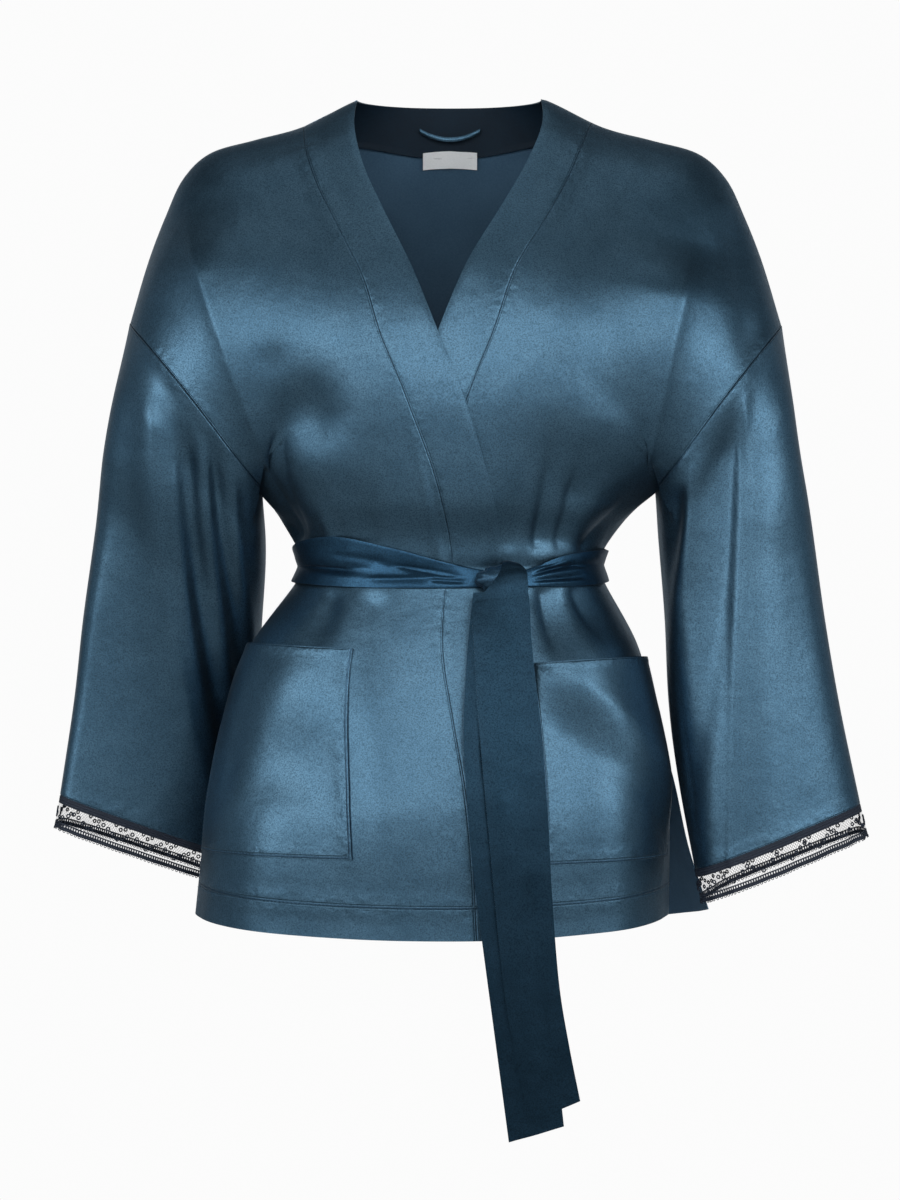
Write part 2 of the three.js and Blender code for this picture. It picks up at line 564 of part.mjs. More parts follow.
// A front's points: u from the neckband's seam to the armhole and side seam, v ridge to hem.
function frontPoint(hand, u, v, lift) {
  const level = v * hemLevel;
  const start = reachAt(level, bandX(hand < 0 ? 'seamR' : 'seamL', level) + hand * (seamGap / 2));
  const reach = lerp(start, hand, u);
  const x = smoothBody(reach, level).x;
  const point = bodyPoint(reach, level, lapLift(hand, level, x) + lift);
  point.y -= seamGap / 2;
  return point;
}

function addFront(name, hand) {
  const at = (u, v, layer) => frontPoint(hand, u, v, -layer * clothWall);
  addPiece(name, wallGeometry(frontColumns, panelRows, at), finishes.satin);
}

// The seam of the neckband round the back of the neck: turn 0 and 180 degrees on the ridge.
function neckSeam(turn) {
  const hand = Math.cos(turn) > 0 ? -1 : 1;
  const ridgeReach = reachAt(0, hand < 0 ? bandLines[0].seamR : bandLines[0].seamL);
  return { reach: ridgeReach * Math.abs(Math.cos(turn)), level: -neckSeamLevel * Math.sin(turn) };
}

// Back: one panel from side to side, cut away at the neck along the neckband's seam.
function addBack() {
  const columns = 2 * backOuterColumns + backNeckColumns;
  const at = (u, v, layer) => {
    const place = u * columns - backOuterColumns;
    const turn = (Math.min(Math.max(place / backNeckColumns, 0), 1)) * Math.PI;
    const seam = neckSeam(turn);
    const outside = Math.max(-place, place - backNeckColumns, 0) / backOuterColumns;
    const reach = lerp(seam.reach, Math.sign(u - 0.5), outside);
    const point = bodyPoint(reach, lerp(seam.level, -hemLevel, v), -layer * clothWall);
    point.y += seamGap / 2;
    return point;
  };
  addPiece('back', wallGeometry(columns, panelRows, at), finishes.satin);
}

function addFrontBand(name, hand) {
  const [seam, edge] = hand < 0 ? ['seamR', 'edgeR'] : ['seamL', 'edgeL'];
  const at = (u, v, layer) => {
    const level = v * hemLevel;
    const x = lerp(bandX(seam, level) - hand * (seamGap / 2), bandX(edge, level), u);
    const point = bodyPoint(reachAt(level, x), level, lapLift(hand, level, x) - layer * clothWall);
    point.y -= seamGap / 2;
    return point;
  };
  addPiece(name, wallGeometry(bandColumns, panelRows, at), finishes.satin);
}

// The neckband round the back of the neck stands up from its seam to its top edge.
function backBandPoint(turn, up) {
  const seam = neckSeam(turn);
  const edge = Math.cos(turn) > 0 ? bandLines[0].edgeR : bandLines[0].edgeL;
  const top = vector(edge * Math.abs(Math.cos(turn)), neckTopBack * Math.sin(turn), Math.sin(turn));
  return bodyPoint(seam.reach, seam.level).lerp(top, up);
}

function addBackBand() {
  const at = (u, v, layer) => {
    const turn = u * Math.PI;
    const up = lerp(bandSeamStart, 1, v);
    const along = backBandPoint(turn + smallStep, up).sub(backBandPoint(turn - smallStep, up));
    const rise = backBandPoint(turn, up + smallStep).sub(backBandPoint(turn, up - smallStep));
    const normal = rise.cross(along).normalize();
    const point = backBandPoint(turn, up).addScaledVector(normal, -layer * clothWall);
    point.y += seamGap / 2;
    return point;
  };
  addPiece('neckband_back', wallGeometry(backNeckColumns, bandColumns, at), finishes.satin);
}

function addSleeve(side, hand) {
  const last = sleeves[side].length - 1;
  addPiece(`sleeve_${side}`, wallGeometry(armholeColumns, sleeveRows, (u, v, layer) => (
    sleevePoint(hand, u * 2 * Math.PI, v * last, 0, layer * clothWall)
  ), true), finishes.satin);
  addPiece(`lace_${side}`, wallGeometry(armholeColumns, laceRows, (u, v, layer) => (
    sleevePoint(hand, u * 2 * Math.PI, last, lerp(seamGap, laceDepth, v), layer * trimWall)
  ), true), finishes.lace);
}

// A pocket lies on its front's own facets, moved out: its columns and rows are the front's.
function addPocket(side, hand) {
  const pocket = pockets[side];
  const rows = [pocket.topRow];
  for (let row = Math.floor(pocket.topRow) + 1; row < pocket.bottomRow; row += 1) rows.push(row);
  rows.push(pocket.bottomRow);
  const across = pocket.outerColumn - pocket.innerColumn;
  const at = (u, v, layer) => {
    const row = rows[Math.round(v * (rows.length - 1))];
    const above = Math.floor(row);
    const place = lerp(pocket.innerColumn, pocket.outerColumn, u) / frontColumns;
    const lift = pocketGap + (1 - layer) * pocketWall;
    return frontPoint(hand, place, above / panelRows, lift)
      .lerp(frontPoint(hand, place, (above + 1) / panelRows, lift), row - above);
  };
  addPiece(`pocket_${side}`, wallGeometry(across, rows.length - 1, at), finishes.satin);
}

// The belt runs once round the waist, over the lapped fronts.
function addBelt() {
  const lastRow = beltFront.length - 1;
  const at = (u, v, layer) => {
    const face = u < 0.5 ? 1 : -1;
    const reach = face > 0 ? lerp(-1, 1, u * 2) : lerp(1, -1, u * 2 - 1);
    const sideRow = reach < 0 ? 0 : lastRow;
    const row = face > 0 ? ((reach + 1) / 2) * lastRow : sideRow;
    const behind = face > 0 ? 0 : smoothstep(1 - Math.abs(reach), 0, beltSide);
    const top = lerp(column(beltFront, 'top', row), beltBack.top, behind);
    const bottom = lerp(column(beltFront, 'bottom', row), beltBack.bottom, behind);
    const level = levelAt(reach, lerp(top, bottom, v), face);
    const lift = beltLift + (1 - layer) * clothWall;
    return smoothBody(reach, level).addScaledVector(bodyNormal(reach, level), lift);
  };
  addPiece('belt_waist', wallGeometry(beltColumns, beltRows, at, true), finishes.belt);
}

function addKnot() {
  const geometry = new THREE.SphereGeometry(1, knotColumns, knotRows);
  const place = geometry.attributes.position;
  for (let n = 0; n < place.count; n += 1) {
    const point = vector().fromBufferAttribute(place, n);
    const turn = Math.atan2(point.z, point.x);
    const lobe = 1 - knot.lobeHeight * (1 - Math.cos(knot.lobes * turn)) * (1 - Math.abs(point.y));
    place.setXYZ(
      n,
      knot.x + point.x * lobe * knot.halfWidth,
      knot.y + point.y * lobe * knot.halfDepth,
      knot.z + point.z * lobe * knot.halfHeight,
    );
  }
  addPiece('belt_knot', geometry, finishes.belt);
}

// Each tail is a flat strip whose sides follow its table. The wall's thickness goes forward.
function addTail(name, rows, along) {
  const last = rows.length - 1;
  const onTail = (u, place) => vector(
    lerp(column(rows, 'leftX', place), column(rows, 'rightX', place), u),
    column(rows, 'y', place),
    lerp(column(rows, 'leftZ', place), column(rows, 'rightZ', place), u),
  );
  addPiece(name, wallGeometry(tailColumns, along, (u, v, layer) => {
    const place = v * last;
    const below = onTail(u, Math.min(place + smallStep, last));
    const down = below.sub(onTail(u, Math.max(place - smallStep, 0)));
    const side = onTail(1, place).sub(onTail(0, place));
    const normal = down.cross(side).normalize();
    return onTail(u, place).addScaledVector(normal, (1 - layer) * clothWall);
  }), finishes.belt);
}

function addLabel() {
  addPiece('label', wallGeometry(labelColumns, 1, (u, v, layer) => {
    const x = lerp(-label.halfWidth, label.halfWidth, u);
    const level = levelAt(0, lerp(label.top, label.bottom, v), -1);
    const depth = clothWall + 2 * seamGap + layer * trimWall;
    const point = bodyPoint(reachAt(level, x), level, -depth);
    point.y -= 1 - v;
    return point;
  }), finishes.label);
}

// A narrow strip sewn at both ends to the inside of the neckband, standing off it between them.
function addLoop() {
  addPiece('hanger_loop', wallGeometry(loopColumns, 1, (u, v, layer) => {
    const place = lerp(-1, 1, u);
    const free = 1 - place ** 2;
    const x = place * loop.halfWidth;
    const turn = Math.acos(-x / ((bandLines[0].edgeL - bandLines[0].edgeR) / 2));
    const z = loop.endZ - loop.sag * free - v * loop.height;
    const band = backBandPoint(turn, 1 + z / neckbandHeight);
    const off = clothWall + seamGap + loop.standOff * free + layer * trimWall;
    return vector(x, band.y - off, z);
  }), finishes.satin);
}

addFront('front_right', -1);
addFront('front_left', 1);
addBack();
addFrontBand('neckband_right', -1);
addFrontBand('neckband_left', 1);
addBackBand();
addSleeve('right', -1);
addSleeve('left', 1);
addPocket('right', -1);
addPocket('left', 1);
addBelt();
addKnot();
addTail('belt_tail_front', tailFront, 22);
addTail('belt_tail_back', tailBack, 16);
addLabel();
addLoop();

export default robe;
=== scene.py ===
import math

import bpy
import numpy as np
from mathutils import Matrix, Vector


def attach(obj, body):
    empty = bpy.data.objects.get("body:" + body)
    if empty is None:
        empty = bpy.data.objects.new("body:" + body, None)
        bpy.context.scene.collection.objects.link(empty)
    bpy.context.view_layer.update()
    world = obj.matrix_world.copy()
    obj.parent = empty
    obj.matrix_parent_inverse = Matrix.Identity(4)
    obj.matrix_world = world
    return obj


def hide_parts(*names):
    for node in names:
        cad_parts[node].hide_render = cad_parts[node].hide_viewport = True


# A short satin kimono robe with lace cuffs, filled out but hollow, tied with its own belt. Lengths
# in the tables are millimetres: +Z is up, the fronts face -Y and the wearer's right is at -X.
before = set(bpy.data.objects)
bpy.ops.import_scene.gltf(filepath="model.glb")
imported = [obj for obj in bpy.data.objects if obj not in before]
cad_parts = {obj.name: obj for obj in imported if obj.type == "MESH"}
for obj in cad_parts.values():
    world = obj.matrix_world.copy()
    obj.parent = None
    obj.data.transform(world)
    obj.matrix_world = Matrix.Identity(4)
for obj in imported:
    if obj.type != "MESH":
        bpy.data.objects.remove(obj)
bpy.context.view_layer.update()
print("frame loaded")

hands = {"right": -1, "left": 1}  # the sign of x on each side


def column(values, place):
    # a smooth curve through a table's values (Catmull-Rom, straight at both ends) at a place
    # counted in rows
    values = np.asarray(values, float)
    last = len(values) - 1
    place = np.clip(place, 0, last)
    start = np.clip(np.floor(place).astype(int), 0, last - 1)
    part = place - start
    ends = 2 * values[0] - values[1], 2 * values[-1] - values[-2]
    padded = np.concatenate(([ends[0]], values, [ends[1]]))
    before, here, following, after = (padded[start + step] for step in range(4))
    square, cube = part**2, part**3
    return (
        (2 * cube - 3 * square + 1) * here
        + (cube - 2 * square + part) * (following - before) / 2
        + (3 * square - 2 * cube) * following
        + (cube - square) * (after - here) / 2
    )


def ease(value, low, high):
    # 0 below low, 1 above high, and a smooth step between them
    part = np.clip((value - low) / (high - low), 0, 1)
    return part * part * (3 - 2 * part)


def blend(first, second, part):
    # a straight mix: first where part is 0, second where it is 1
    return first + (second - first) * part


def bell(value, width):
    # a Gauss curve: 1 at 0, and about 0.6 a width away
    return np.exp(-0.5 * (value / width) ** 2)


def points(x, y, z):
    # coordinates side by side, each spread over the same grid
    return np.stack(np.broadcast_arrays(x, y, z), axis=-1).astype(float)


def unit(vectors):
    # each vector over its length
    return vectors / np.maximum(np.linalg.norm(vectors, axis=-1, keepdims=True), 1e-9)


# The body in rows, from the shoulder ridge at 0 to the hem at 14: its middle line in front and
# behind, how far a row follows the shoulder's own line, the angle of its arc in degrees, and where
# each neckband's seam and free edge run. Shoulder tables go from the neck to the armhole.
body = {
    "frontY": [0, -30, -56, -82, -102, -114, -119, -110, -97, -95, -109, -120.5, -129, -135, -140],
    "frontZ": [14, -12, -52, -98, -150, -205, -262, -325, -385, -408, -466, -523, -580, -637, -702],
    "backY": [0, 30, 57, 78, 96, 106, 108, 98, 86, 84, 100, 117, 128, 136, 141],
    "backZ": [14, -6, -34, -82, -140, -202, -264, -325, -385, -408, -465, -523, -580, -637, -702],
    "shoulder": [1, 0.85, 0.5, 0.2, 0, 0, 0, 0, 0, 0, 0, 0, 0, 0, 0],
    "turn": [60, 60, 60, 62, 68, 78, 90, 90, 90, 90, 90, 90, 90, 90, 90],
    "seamR": [-124.5, -121.5, -110, -90.5, -69, -52.5, -32, -10.5, 1.5, -3, -6, 2.3, 12, 18, 22],
    "edgeR": [-79, -80.5, -71.5, -53.5, -31, -10, 12, 31, 42, 36, 31.5, 39.7, 49.5, 55.5, 59.5],
    "seamL": [122, 112, 98, 77.5, 52, 34, 13, -4, -12, -13, -12, -10, -8, -7, -6],
    "edgeL": [77.5, 77.5, 63.5, 41, 13, -9.5, -29, -43, -50, -51, -50, -48, -46, -45, -44],
    "shoulderAcross": [0, 0.15, 0.29, 0.46, 0.61, 0.75, 0.835, 0.89, 0.945, 1],
    "shoulderDown": [0, 0.02, 0.069, 0.18, 0.235, 0.29, 0.395, 0.55, 0.745, 1],
    "underarmLevel": 6,
    "armholeRise": 6,
    "neckTopBack": 60,
    "neckSeamLevel": 2.15,
    "seamGap": 0.3,
    "wall": 0.9,
    "hemDepth": 27,
    "foldDepth": 1.5,
    "beltZ": -400,
    "beltReach": 30,  # a crease that ends this near the belt's level starts from it
    "hemZ": -700,
    "blouse": {"height": 7, "z": -330, "width": 45, "ends": (-380, -342)},
    "tuck": {"all": 3, "middle": 8, "ends": (-720, -590)},
}
hemLevel = len(body["frontY"]) - 1

# Where the rows end below the underarm, and how far the left front's edge stands in and forward at
# its vent.
sides = {
    "rightX": [-159, -143, -127, -129, -169, -191.5, -204, -209.5, -215],
    "leftX": [174, 148, 128, 130, 159.5, 174.5, 191, 203.5, 221],
    "z": [-333, -358, -388, -407, -463, -521, -579, -635, -689],
    "rightY": [0, 0, 0, 0, -6, -12, -16, -18, -20],
    "leftY": [0, 0, 0, 0, 2, 4, 7, 11, 14],
    "ventIn": [0, 0, 0, 0, 0, 0, 6, 18, 36],
    "ventForward": [0, 0, 0, 0, 0, 0, 13, 27, 32],
}

# The sleeves in rows from the armhole to the cuff: outer and inner line, and half the depth.
sleeves = {
    "right": {
        "outerX": [-271, -291, -301, -312, -320, -332],
        "outerY": [0, 3, 9, 14, 17, 18],
        "outerZ": [-190, -289, -365, -441, -510, -590],
        "innerX": [-159, -157.5, -162.5, -168, -174, -181],
        "innerY": [0, 14, 50, 70, 82, 90],
        "innerZ": [-333, -386, -442, -508, -577, -648],
        "halfDepth": [75, 66, 60, 56, 52, 48],
    },
    "left": {
        "outerX": [281, 293.5, 306, 316.5, 329, 346],
        "outerY": [0, -2, -4, -6, -8, -8],
        "outerZ": [-192, -289, -365, -441, -515, -596],
        "innerX": [174, 178, 182, 185, 193, 205],
        "innerY": [0, -8, -16, -24, -32, -40],
        "innerZ": [-333, -386, -442, -510, -580, -650],
        "halfDepth": [75, 66, 60, 56, 52, 48],
    },
}
cuffRow = 5
armholeGap = 0.55

# Creases as seen from in front, from the upper end to the lower one: x, z, x, z, how far the
# line bows, its width, its height (less than zero in a trough) and how much sharper it is on one
# side (from -0.8 to 0.8).
creases = {
    "front": [
        # right front above the belt
        (-223, -92, -133, -362, -3, 24, 11, -0.6),
        (-146, -190, -122, -384, 3, 7, -2.6, 0.6),
        (-158, -262, -126, -384, 2, 7, -4, 0.6),
        (-104, -330, -92, -392, -2, 5, 2, 0),
        (-70, -310, -66, -388, 2, 9, -2.2, 0),
        (-37, -258, -9, -397, 3, 2.6, 2.6, -0.5),
        (-33, -262, -5, -397, 3, 4.5, -2, 0),
        # right front below the belt
        (-95, -414, -126, -478, 4, 8, -2, 0),
        (-62, -416, -74, -520, 3, 9, -1.6, 0),
        (-142, -470, -166, -720, 4, 24, 3, 0),
        (-98, -480, -112, -720, -4, 22, -2.4, 0),
        (-48, -500, -54, -720, 3, 20, 2.4, 0),
        # left front above the belt
        (202, -125, 162, -350, -5, 24, 11, 0.6),
        (232, -84, 246, -250, 6, 9, -2, 0),
        (93, -250, 72, -392, -4, 7, -4, -0.6),
        (116, -270, 90, -390, -4, 7, -3.6, -0.6),
        (150, -320, 106, -388, 3, 6, -3.6, -0.6),
        (52, -310, 50, -388, 1, 8, -1.2, 0),
        # left front below the belt
        (76, -408, 100, -496, -3, 9, -5, -0.6),
        (100, -410, 142, -470, -4, 8, -3.4, -0.6),
        (92, -470, 104, -720, 4, 20, -3.4, 0),
        (134, -480, 148, -720, -4, 18, 3, 0),
    ],
    "back": [
        (-198, -140, -156, -336, -3, 9, 7, 0.3),
        (-210, -150, -167, -325, -3, 8, -8, 0),
        (-120, -220, -104, -385, 4, 14, -6, 0),
        (-64, -250, -58, -388, -3, 12, -5, 0),
        (-12, -210, -8, -388, 3, 15, -4, 0),
        (40, -270, 38, -388, 2, 10, -5, 0),
        (96, -240, 84, -386, -3, 13, -6, 0),
        (168, -160, 166, -330, 4, 9, -8, 0),
        (180, -150, 178, -318, 4, 9, 7, 0),
        (-96, -414, -120, -500, 3, 9, -5, 0),
        (-40, -414, -50, -520, -2, 9, -5, 0),
        (10, -414, 14, -530, 2, 10, -4, 0),
        (60, -414, 76, -510, -3, 9, -5, 0),
        (104, -414, 130, -490, -2, 9, -5, 0),
        (-150, -480, -168, -720, 4, 20, 6, 0),
        (-80, -490, -94, -720, -4, 20, -7, 0),
        (-20, -500, -18, -720, 3, 20, 6, 0),
        (50, -500, 58, -720, -3, 19, -6, 0),
        (116, -490, 134, -720, 3, 20, 6, 0),
        # finer ones
        (-86, -300, -82, -388, 2, 5, 3.5, 0.3),
        (-36, -310, -34, -386, -2, 4, 3, 0),
        (16, -290, 14, -388, 2, 5, 3.5, -0.3),
        (64, -300, 60, -386, -2, 4.5, 3, 0),
        (118, -290, 106, -384, 3, 4, -3, 0.3),
        (-140, -280, -118, -376, 3, 4, 3, 0),
        (-70, -417, -80, -470, 2, 4, 3, 0),
        (-12, -417, -14, -480, 1, 4, 3, 0),
        (36, -417, 44, -470, -2, 4, 3, 0),
        (84, -417, 100, -465, -2, 4, 3, 0),
        (-112, -417, -136, -462, 3, 4, 3, 0),
        (-150, -150, -120, -260, 5, 16, 4, 0),
        (146, -150, 130, -260, -5, 16, 4, 0),
        (-182, -540, -196, -715, 3, 11, -5, 0),
        (84, -560, 92, -715, 3, 10, 4, 0),
        (-52, -560, -56, -715, 3, 10, 4, 0),
        (176, -540, 190, -715, 3, 12, -5, 0),
    ],
    "rightFront": [
        (-243, -200, -203, -625, -16, 9, 4.5, 0.6),
        (-232, -262, -192, -625, -8, 6, 2.6, 0.3),
        (-222, -262, -190, -560, -6, 7, -2.8, 0),
        (-206, -268, -186, -520, -4, 6, 2.4, 0),
        (-198, -268, -184, -440, -2, 4, -2.8, 0),
        (-186, -296, -176, -410, 0, 3.5, 2, 0),
        (-282, -300, -306, -640, 3, 24, -2.4, 0),
    ],
    "rightBack": [
        (-250, -215, -262, -620, 6, 14, -5, 0),
        (-222, -250, -228, -620, -5, 11, 4, 0),
        (-200, -280, -204, -600, 3, 9, -4, 0),
        (-288, -300, -306, -610, -3, 18, -3, 0),
        (-236, -250, -246, -560, -4, 4, 2.4, 0.3),
        (-190, -300, -184, -430, 2, 4, 2.4, 0),
    ],
    "leftFront": [
        (233, -235, 190, -600, 10, 13, -4.5, 0.2),
        (242, -222, 238, -420, 1, 3.5, 2, -0.4),
        (208, -280, 180, -470, 3, 6, 2.6, 0),
        (190, -320, 182, -430, 0, 6, -2.6, 0),
        (283, -330, 296, -640, 0, 24, -2.2, 0),
        (262, -300, 268, -640, 0, 20, 1.8, 0),
    ],
    "leftBack": [
        (252, -215, 272, -620, -6, 14, -5, 0),
        (228, -250, 240, -620, 4, 11, 4, 0),
        (206, -285, 214, -600, -3, 9, -4, 0),
        (294, -310, 318, -610, 3, 18, -3, 0),
        (240, -250, 254, -560, 4, 4, 2.4, 0.3),
        (192, -310, 190, -440, -2, 4, 2.4, 0),
    ],
}

# The bust, the shoulder blades and a few hollows: 1 in front or -1 behind, x, z, half width, half
# height, and how far each stands out.
swells = [
    (1, -78, -205, 48, 62, 15),
    (1, 78, -205, 48, 62, 15),
    (1, -112, -272, 20, 19, -9),
    (1, -106, -320, 26, 19, 3),
    (1, -150, -560, 36, 34, -9),
    (1, -142, -226, 11, 9, -1.6),
    (1, 100, -336, 6, 8, -2.6),
    (-1, -75, -170, 48, 60, 7),
    (-1, 75, -170, 48, 60, 7),
]

centreLine = {
    name: np.concatenate((np.array(back[:0:-1], float), front))
    for name, back, front in (
        ("y", body["backY"], body["frontY"]),
        ("z", body["backZ"], body["frontZ"]),
        ("shoulder", body["shoulder"], body["shoulder"]),
        ("turn", body["turn"], body["turn"]),
    )
}


def centre(name, level):
    # the body's middle line at a level: more than 0 in front, less than 0 behind
    return column(centreLine[name], level + hemLevel)


def armholePoint(side, angle):
    # an ellipse between the sleeve's outer and inner point, bowed up in front and behind
    first = {name: values[0] for name, values in sleeves[side].items()}
    along = (1 + np.cos(angle)) / 2
    return points(
        blend(first["innerX"], first["outerX"], along),
        -first["halfDepth"] * np.sin(angle),
        blend(first["innerZ"], first["outerZ"], along) + body["armholeRise"] * np.sin(angle) ** 2,
    )


def sidePoint(side, level):
    # where a level ends: on the armhole, or below it on the side seam
    place = np.abs(level) - body["underarmLevel"]
    vent = (side == "left") & (level > 0)
    inward, forward = (
        np.where(vent, np.maximum(column(sides[name], place), 0), 0)
        for name in ("ventIn", "ventForward")
    )
    below = points(
        column(sides[side + "X"], place) - inward,
        column(sides[side + "Y"], place) - forward,
        column(sides["z"], place),
    )
    onArmhole = armholePoint(side, level / body["underarmLevel"] * np.pi)
    return np.where((place <= 0)[..., None], onArmhole, below)


def sameShape(*values):
    # values as arrays of one common shape
    return np.broadcast_arrays(*(np.asarray(value, float) for value in values))


def smoothBody(reach, level):
    # each level runs round the body as an arc, and near the ridge as the shoulder's own line:
    # reach is -1 at its right end, 0 in the middle and 1 at its left end
    reach, level = sameShape(reach, level)
    edge = np.where((reach < 0)[..., None], sidePoint("right", level), sidePoint("left", level))
    turn = np.radians(centre("turn", level))
    shoulder = centre("shoulder", level)
    place = np.abs(reach)
    row = place * (len(body["shoulderAcross"]) - 1)
    across = blend(
        np.sin(place * turn) / np.sin(turn), column(body["shoulderAcross"], row), shoulder
    )
    down = blend(
        (1 - np.cos(place * turn)) / (1 - np.cos(turn)), column(body["shoulderDown"], row), shoulder
    )
    return points(
        edge[..., 0] * across,
        blend(centre("y", level), edge[..., 1], down),
        blend(centre("z", level), edge[..., 2], down),
    )


def bodyNormal(reach, level):
    # at right angles to the directions along and down the surface; level at the side seams
    step = 0.004
    reach, level = sameShape(reach, level)
    along = smoothBody(np.minimum(reach + step, 1), level) - smoothBody(
        np.maximum(reach - step, -1), level
    )
    down = smoothBody(reach, np.minimum(level + step, hemLevel)) - smoothBody(
        reach, np.maximum(level - step, -hemLevel)
    )
    normal = unit(np.cross(down, along))
    below = np.abs(level) >= body["underarmLevel"]
    normal[..., 1] *= np.where(below, ease(1 - np.abs(reach), 0, 0.1), 1)
    return unit(normal)


def creaseHeight(table, x, z, hangs="loose"):
    # the sum of bells across bowed lines, steeper on one side where they lean. On the body, a
    # crease that starts at the belt is narrow there, widens and dies away, and one that reaches
    # the hem stays deep there. One that hangs down stays deep, and any other fades at both ends
    height = np.zeros(np.shape(x))
    edge = 1.2  # how far a crisp edge is rounded
    for x0, z0, x1, z1, bow, width, rise, lean in table:
        lineX, lineZ = x1 - x0, z1 - z0
        length = math.hypot(lineX, lineZ)
        place = np.clip(((x - x0) * lineX + (z - z0) * lineZ) / length**2, 0, 1)
        aside = ((x - x0) * lineZ - (z - z0) * lineX) / length + bow * np.sin(np.pi * place)
        atBelt = [abs(end - body["beltZ"]) < body["beltReach"] for end in (z0, z1)]
        spread, ends = width, ease(place, 0, 0.3) * (1 - ease(place, 0.7, 1))
        if hangs == "body" and any(atBelt):
            away = place if atBelt[0] else 1 - place
            spread = width * (0.65 + 0.8 * away)
            ends = ease(away, 0, 0.12) * (1 - ease(away, 0.35, 1))
        elif hangs == "body" and z1 > body["hemZ"]:
            spread = width * (0.8 + 0.4 * np.sin(np.pi * place))
            ends = ease(place, 0, 0.25) * (1 - ease(place, 0.7, 1))
        elif hangs == "body":
            ends = ease(place, 0, 0.5)
        elif hangs == "down":
            spread = width * (0.8 + 0.5 * place)
            ends = ease(place, 0, 0.2) * (1 - 0.4 * ease(place, 0.3, 1))
        if abs(lean) < 0.5:
            across = bell(aside, spread * (1 + lean * np.tanh(aside / spread)))
        else:
            steep = np.exp((edge - np.hypot(aside, edge)) / spread * 0.8)
            across = np.where(aside * lean > 0, bell(aside, spread * (1 + abs(lean))), steep)
        height += rise * ends * across
    return height


def swellHeight(face, x, z):
    # the sum of round bells on one face of the body
    return sum(
        np.where(face == side, height * bell(x - atX, wide) * bell(z - atZ, high), 0)
        for side, atX, atZ, wide, high, height in swells
    )


def bodyPoint(reach, level, lift=0.0):
    # a point of the body, moved out by its creases and by lift; under the belt they are flat
    reach, level = sameShape(reach, level)
    point = smoothBody(reach, level)
    x, z = point[..., 0], point[..., 2]
    face = np.where(level < 0, -1, 1)
    low = np.abs(level) > body["underarmLevel"] - 1
    nearSide = np.where(low, ease(1 - np.abs(reach), 0, 0.12), 1)
    nearRidge = ease(np.abs(level), 0, 1.2)
    inFront, behind = (creaseHeight(creases[name], x, z, "body") for name in ("front", "back"))
    folds = np.where(face > 0, inFront, behind) * body["foldDepth"]
    folds = folds * (1 - 0.8 * bell(z - body["beltZ"], 13))
    blouse, tuck = body["blouse"], body["tuck"]  # the cloth bags out over the belt
    bag = blouse["height"] * bell(z - blouse["z"], blouse["width"]) * ease(z, *blouse["ends"])
    # the skirt curves in towards its hem, most in the middle of its width
    drawnIn = tuck["all"] + tuck["middle"] * ease(1 - np.abs(reach), 0, 0.6)
    drawnIn = drawnIn * (1 - ease(z, *tuck["ends"]))
    height = (folds + bag - drawnIn + swellHeight(face, x, z)) * nearSide * nearRidge
    return point + bodyNormal(reach, level) * (height + lift)[..., None]


def halve(tooLow, low, high, steps=26):
    # finds by halving where tooLow turns from true to false
    for _ in range(steps):
        middle = (low + high) / 2
        below = tooLow(middle)
        low, high = np.where(below, middle, low), np.where(below, high, middle)
    return (low + high) / 2


def reachAt(level, x):
    # how far along a level x is met
    level, x = sameShape(level, x)
    return halve(
        lambda middle: smoothBody(middle, level)[..., 0] < x,
        np.full(x.shape, -1.0),
        np.ones(x.shape),
    )


def levelAt(reach, z, face):
    # the level at which the height z is met, in front (1) or behind (-1)
    reach, z, face = np.broadcast_arrays(reach, z, face)
    found = halve(
        lambda middle: smoothBody(reach, face * middle)[..., 2] > z,
        np.zeros(z.shape),
        np.full(z.shape, float(hemLevel)),
    )
    return face * found


lap = {"levels": (3.6, 5.2), "over": 1.6, "overX": (-110, -50), "under": 2.8, "underX": (55, 105)}


def lapLift(hand, level, x):
    # where the two fronts lap, the right one stands out and the left one lies in
    crossing = ease(level, *lap["levels"])
    if hand < 0:
        return lap["over"] * crossing * ease(x, *lap["overX"])
    return -lap["under"] * crossing * (1 - ease(x, *lap["underX"]))


def frontPoint(hand, u, v, lift):
    # u from the neckband's seam to the armhole and side seam, v from the ridge to the hem
    u, v = np.broadcast_arrays(u, v)
    level = v * hemLevel
    seam = column(body["seamR" if hand < 0 else "seamL"], level[:, 0])
    reach = blend(reachAt(level[:, 0], seam + hand * body["seamGap"] / 2)[:, None], hand, u)
    x = smoothBody(reach, level)[..., 0]
    point = bodyPoint(reach, level, lapLift(hand, level, x) + lift)
    point[..., 1] -= body["seamGap"] / 2
    return point


def steps(columns, rows):
    # u across and v down a grid, both from 0 to 1
    return np.linspace(0, 1, columns)[None, :], np.linspace(0, 1, rows)[:, None]


def turns(count):
    # angles once round, without the last
    return (np.arange(count) / count * 2 * np.pi)[None, :]


def rowLengths(grid):
    # distance along each row and down each column
    across = np.linalg.norm(np.diff(grid, axis=1), axis=-1)
    down = np.linalg.norm(np.diff(grid, axis=0), axis=-1)
    u = np.concatenate((np.zeros((grid.shape[0], 1)), np.cumsum(across, axis=1)), axis=1)
    v = np.concatenate((np.zeros((1, grid.shape[1])), np.cumsum(down, axis=0)), axis=0)
    return u, v


def quads(*corners):
    # one row of corners for each four-sided face
    return np.stack([corner.ravel() for corner in corners], axis=1)


def facesInward(vertices, faces):
    # true if the volume inside the faces, as a sum of tetrahedra, comes out less than zero
    corner = vertices[faces]
    fans = (np.cross(corner[:, k], corner[:, k + 1]) for k in range(1, faces.shape[1] - 1))
    return sum(np.einsum("ij,ij->", corner[:, 0], fan) for fan in fans) < 0


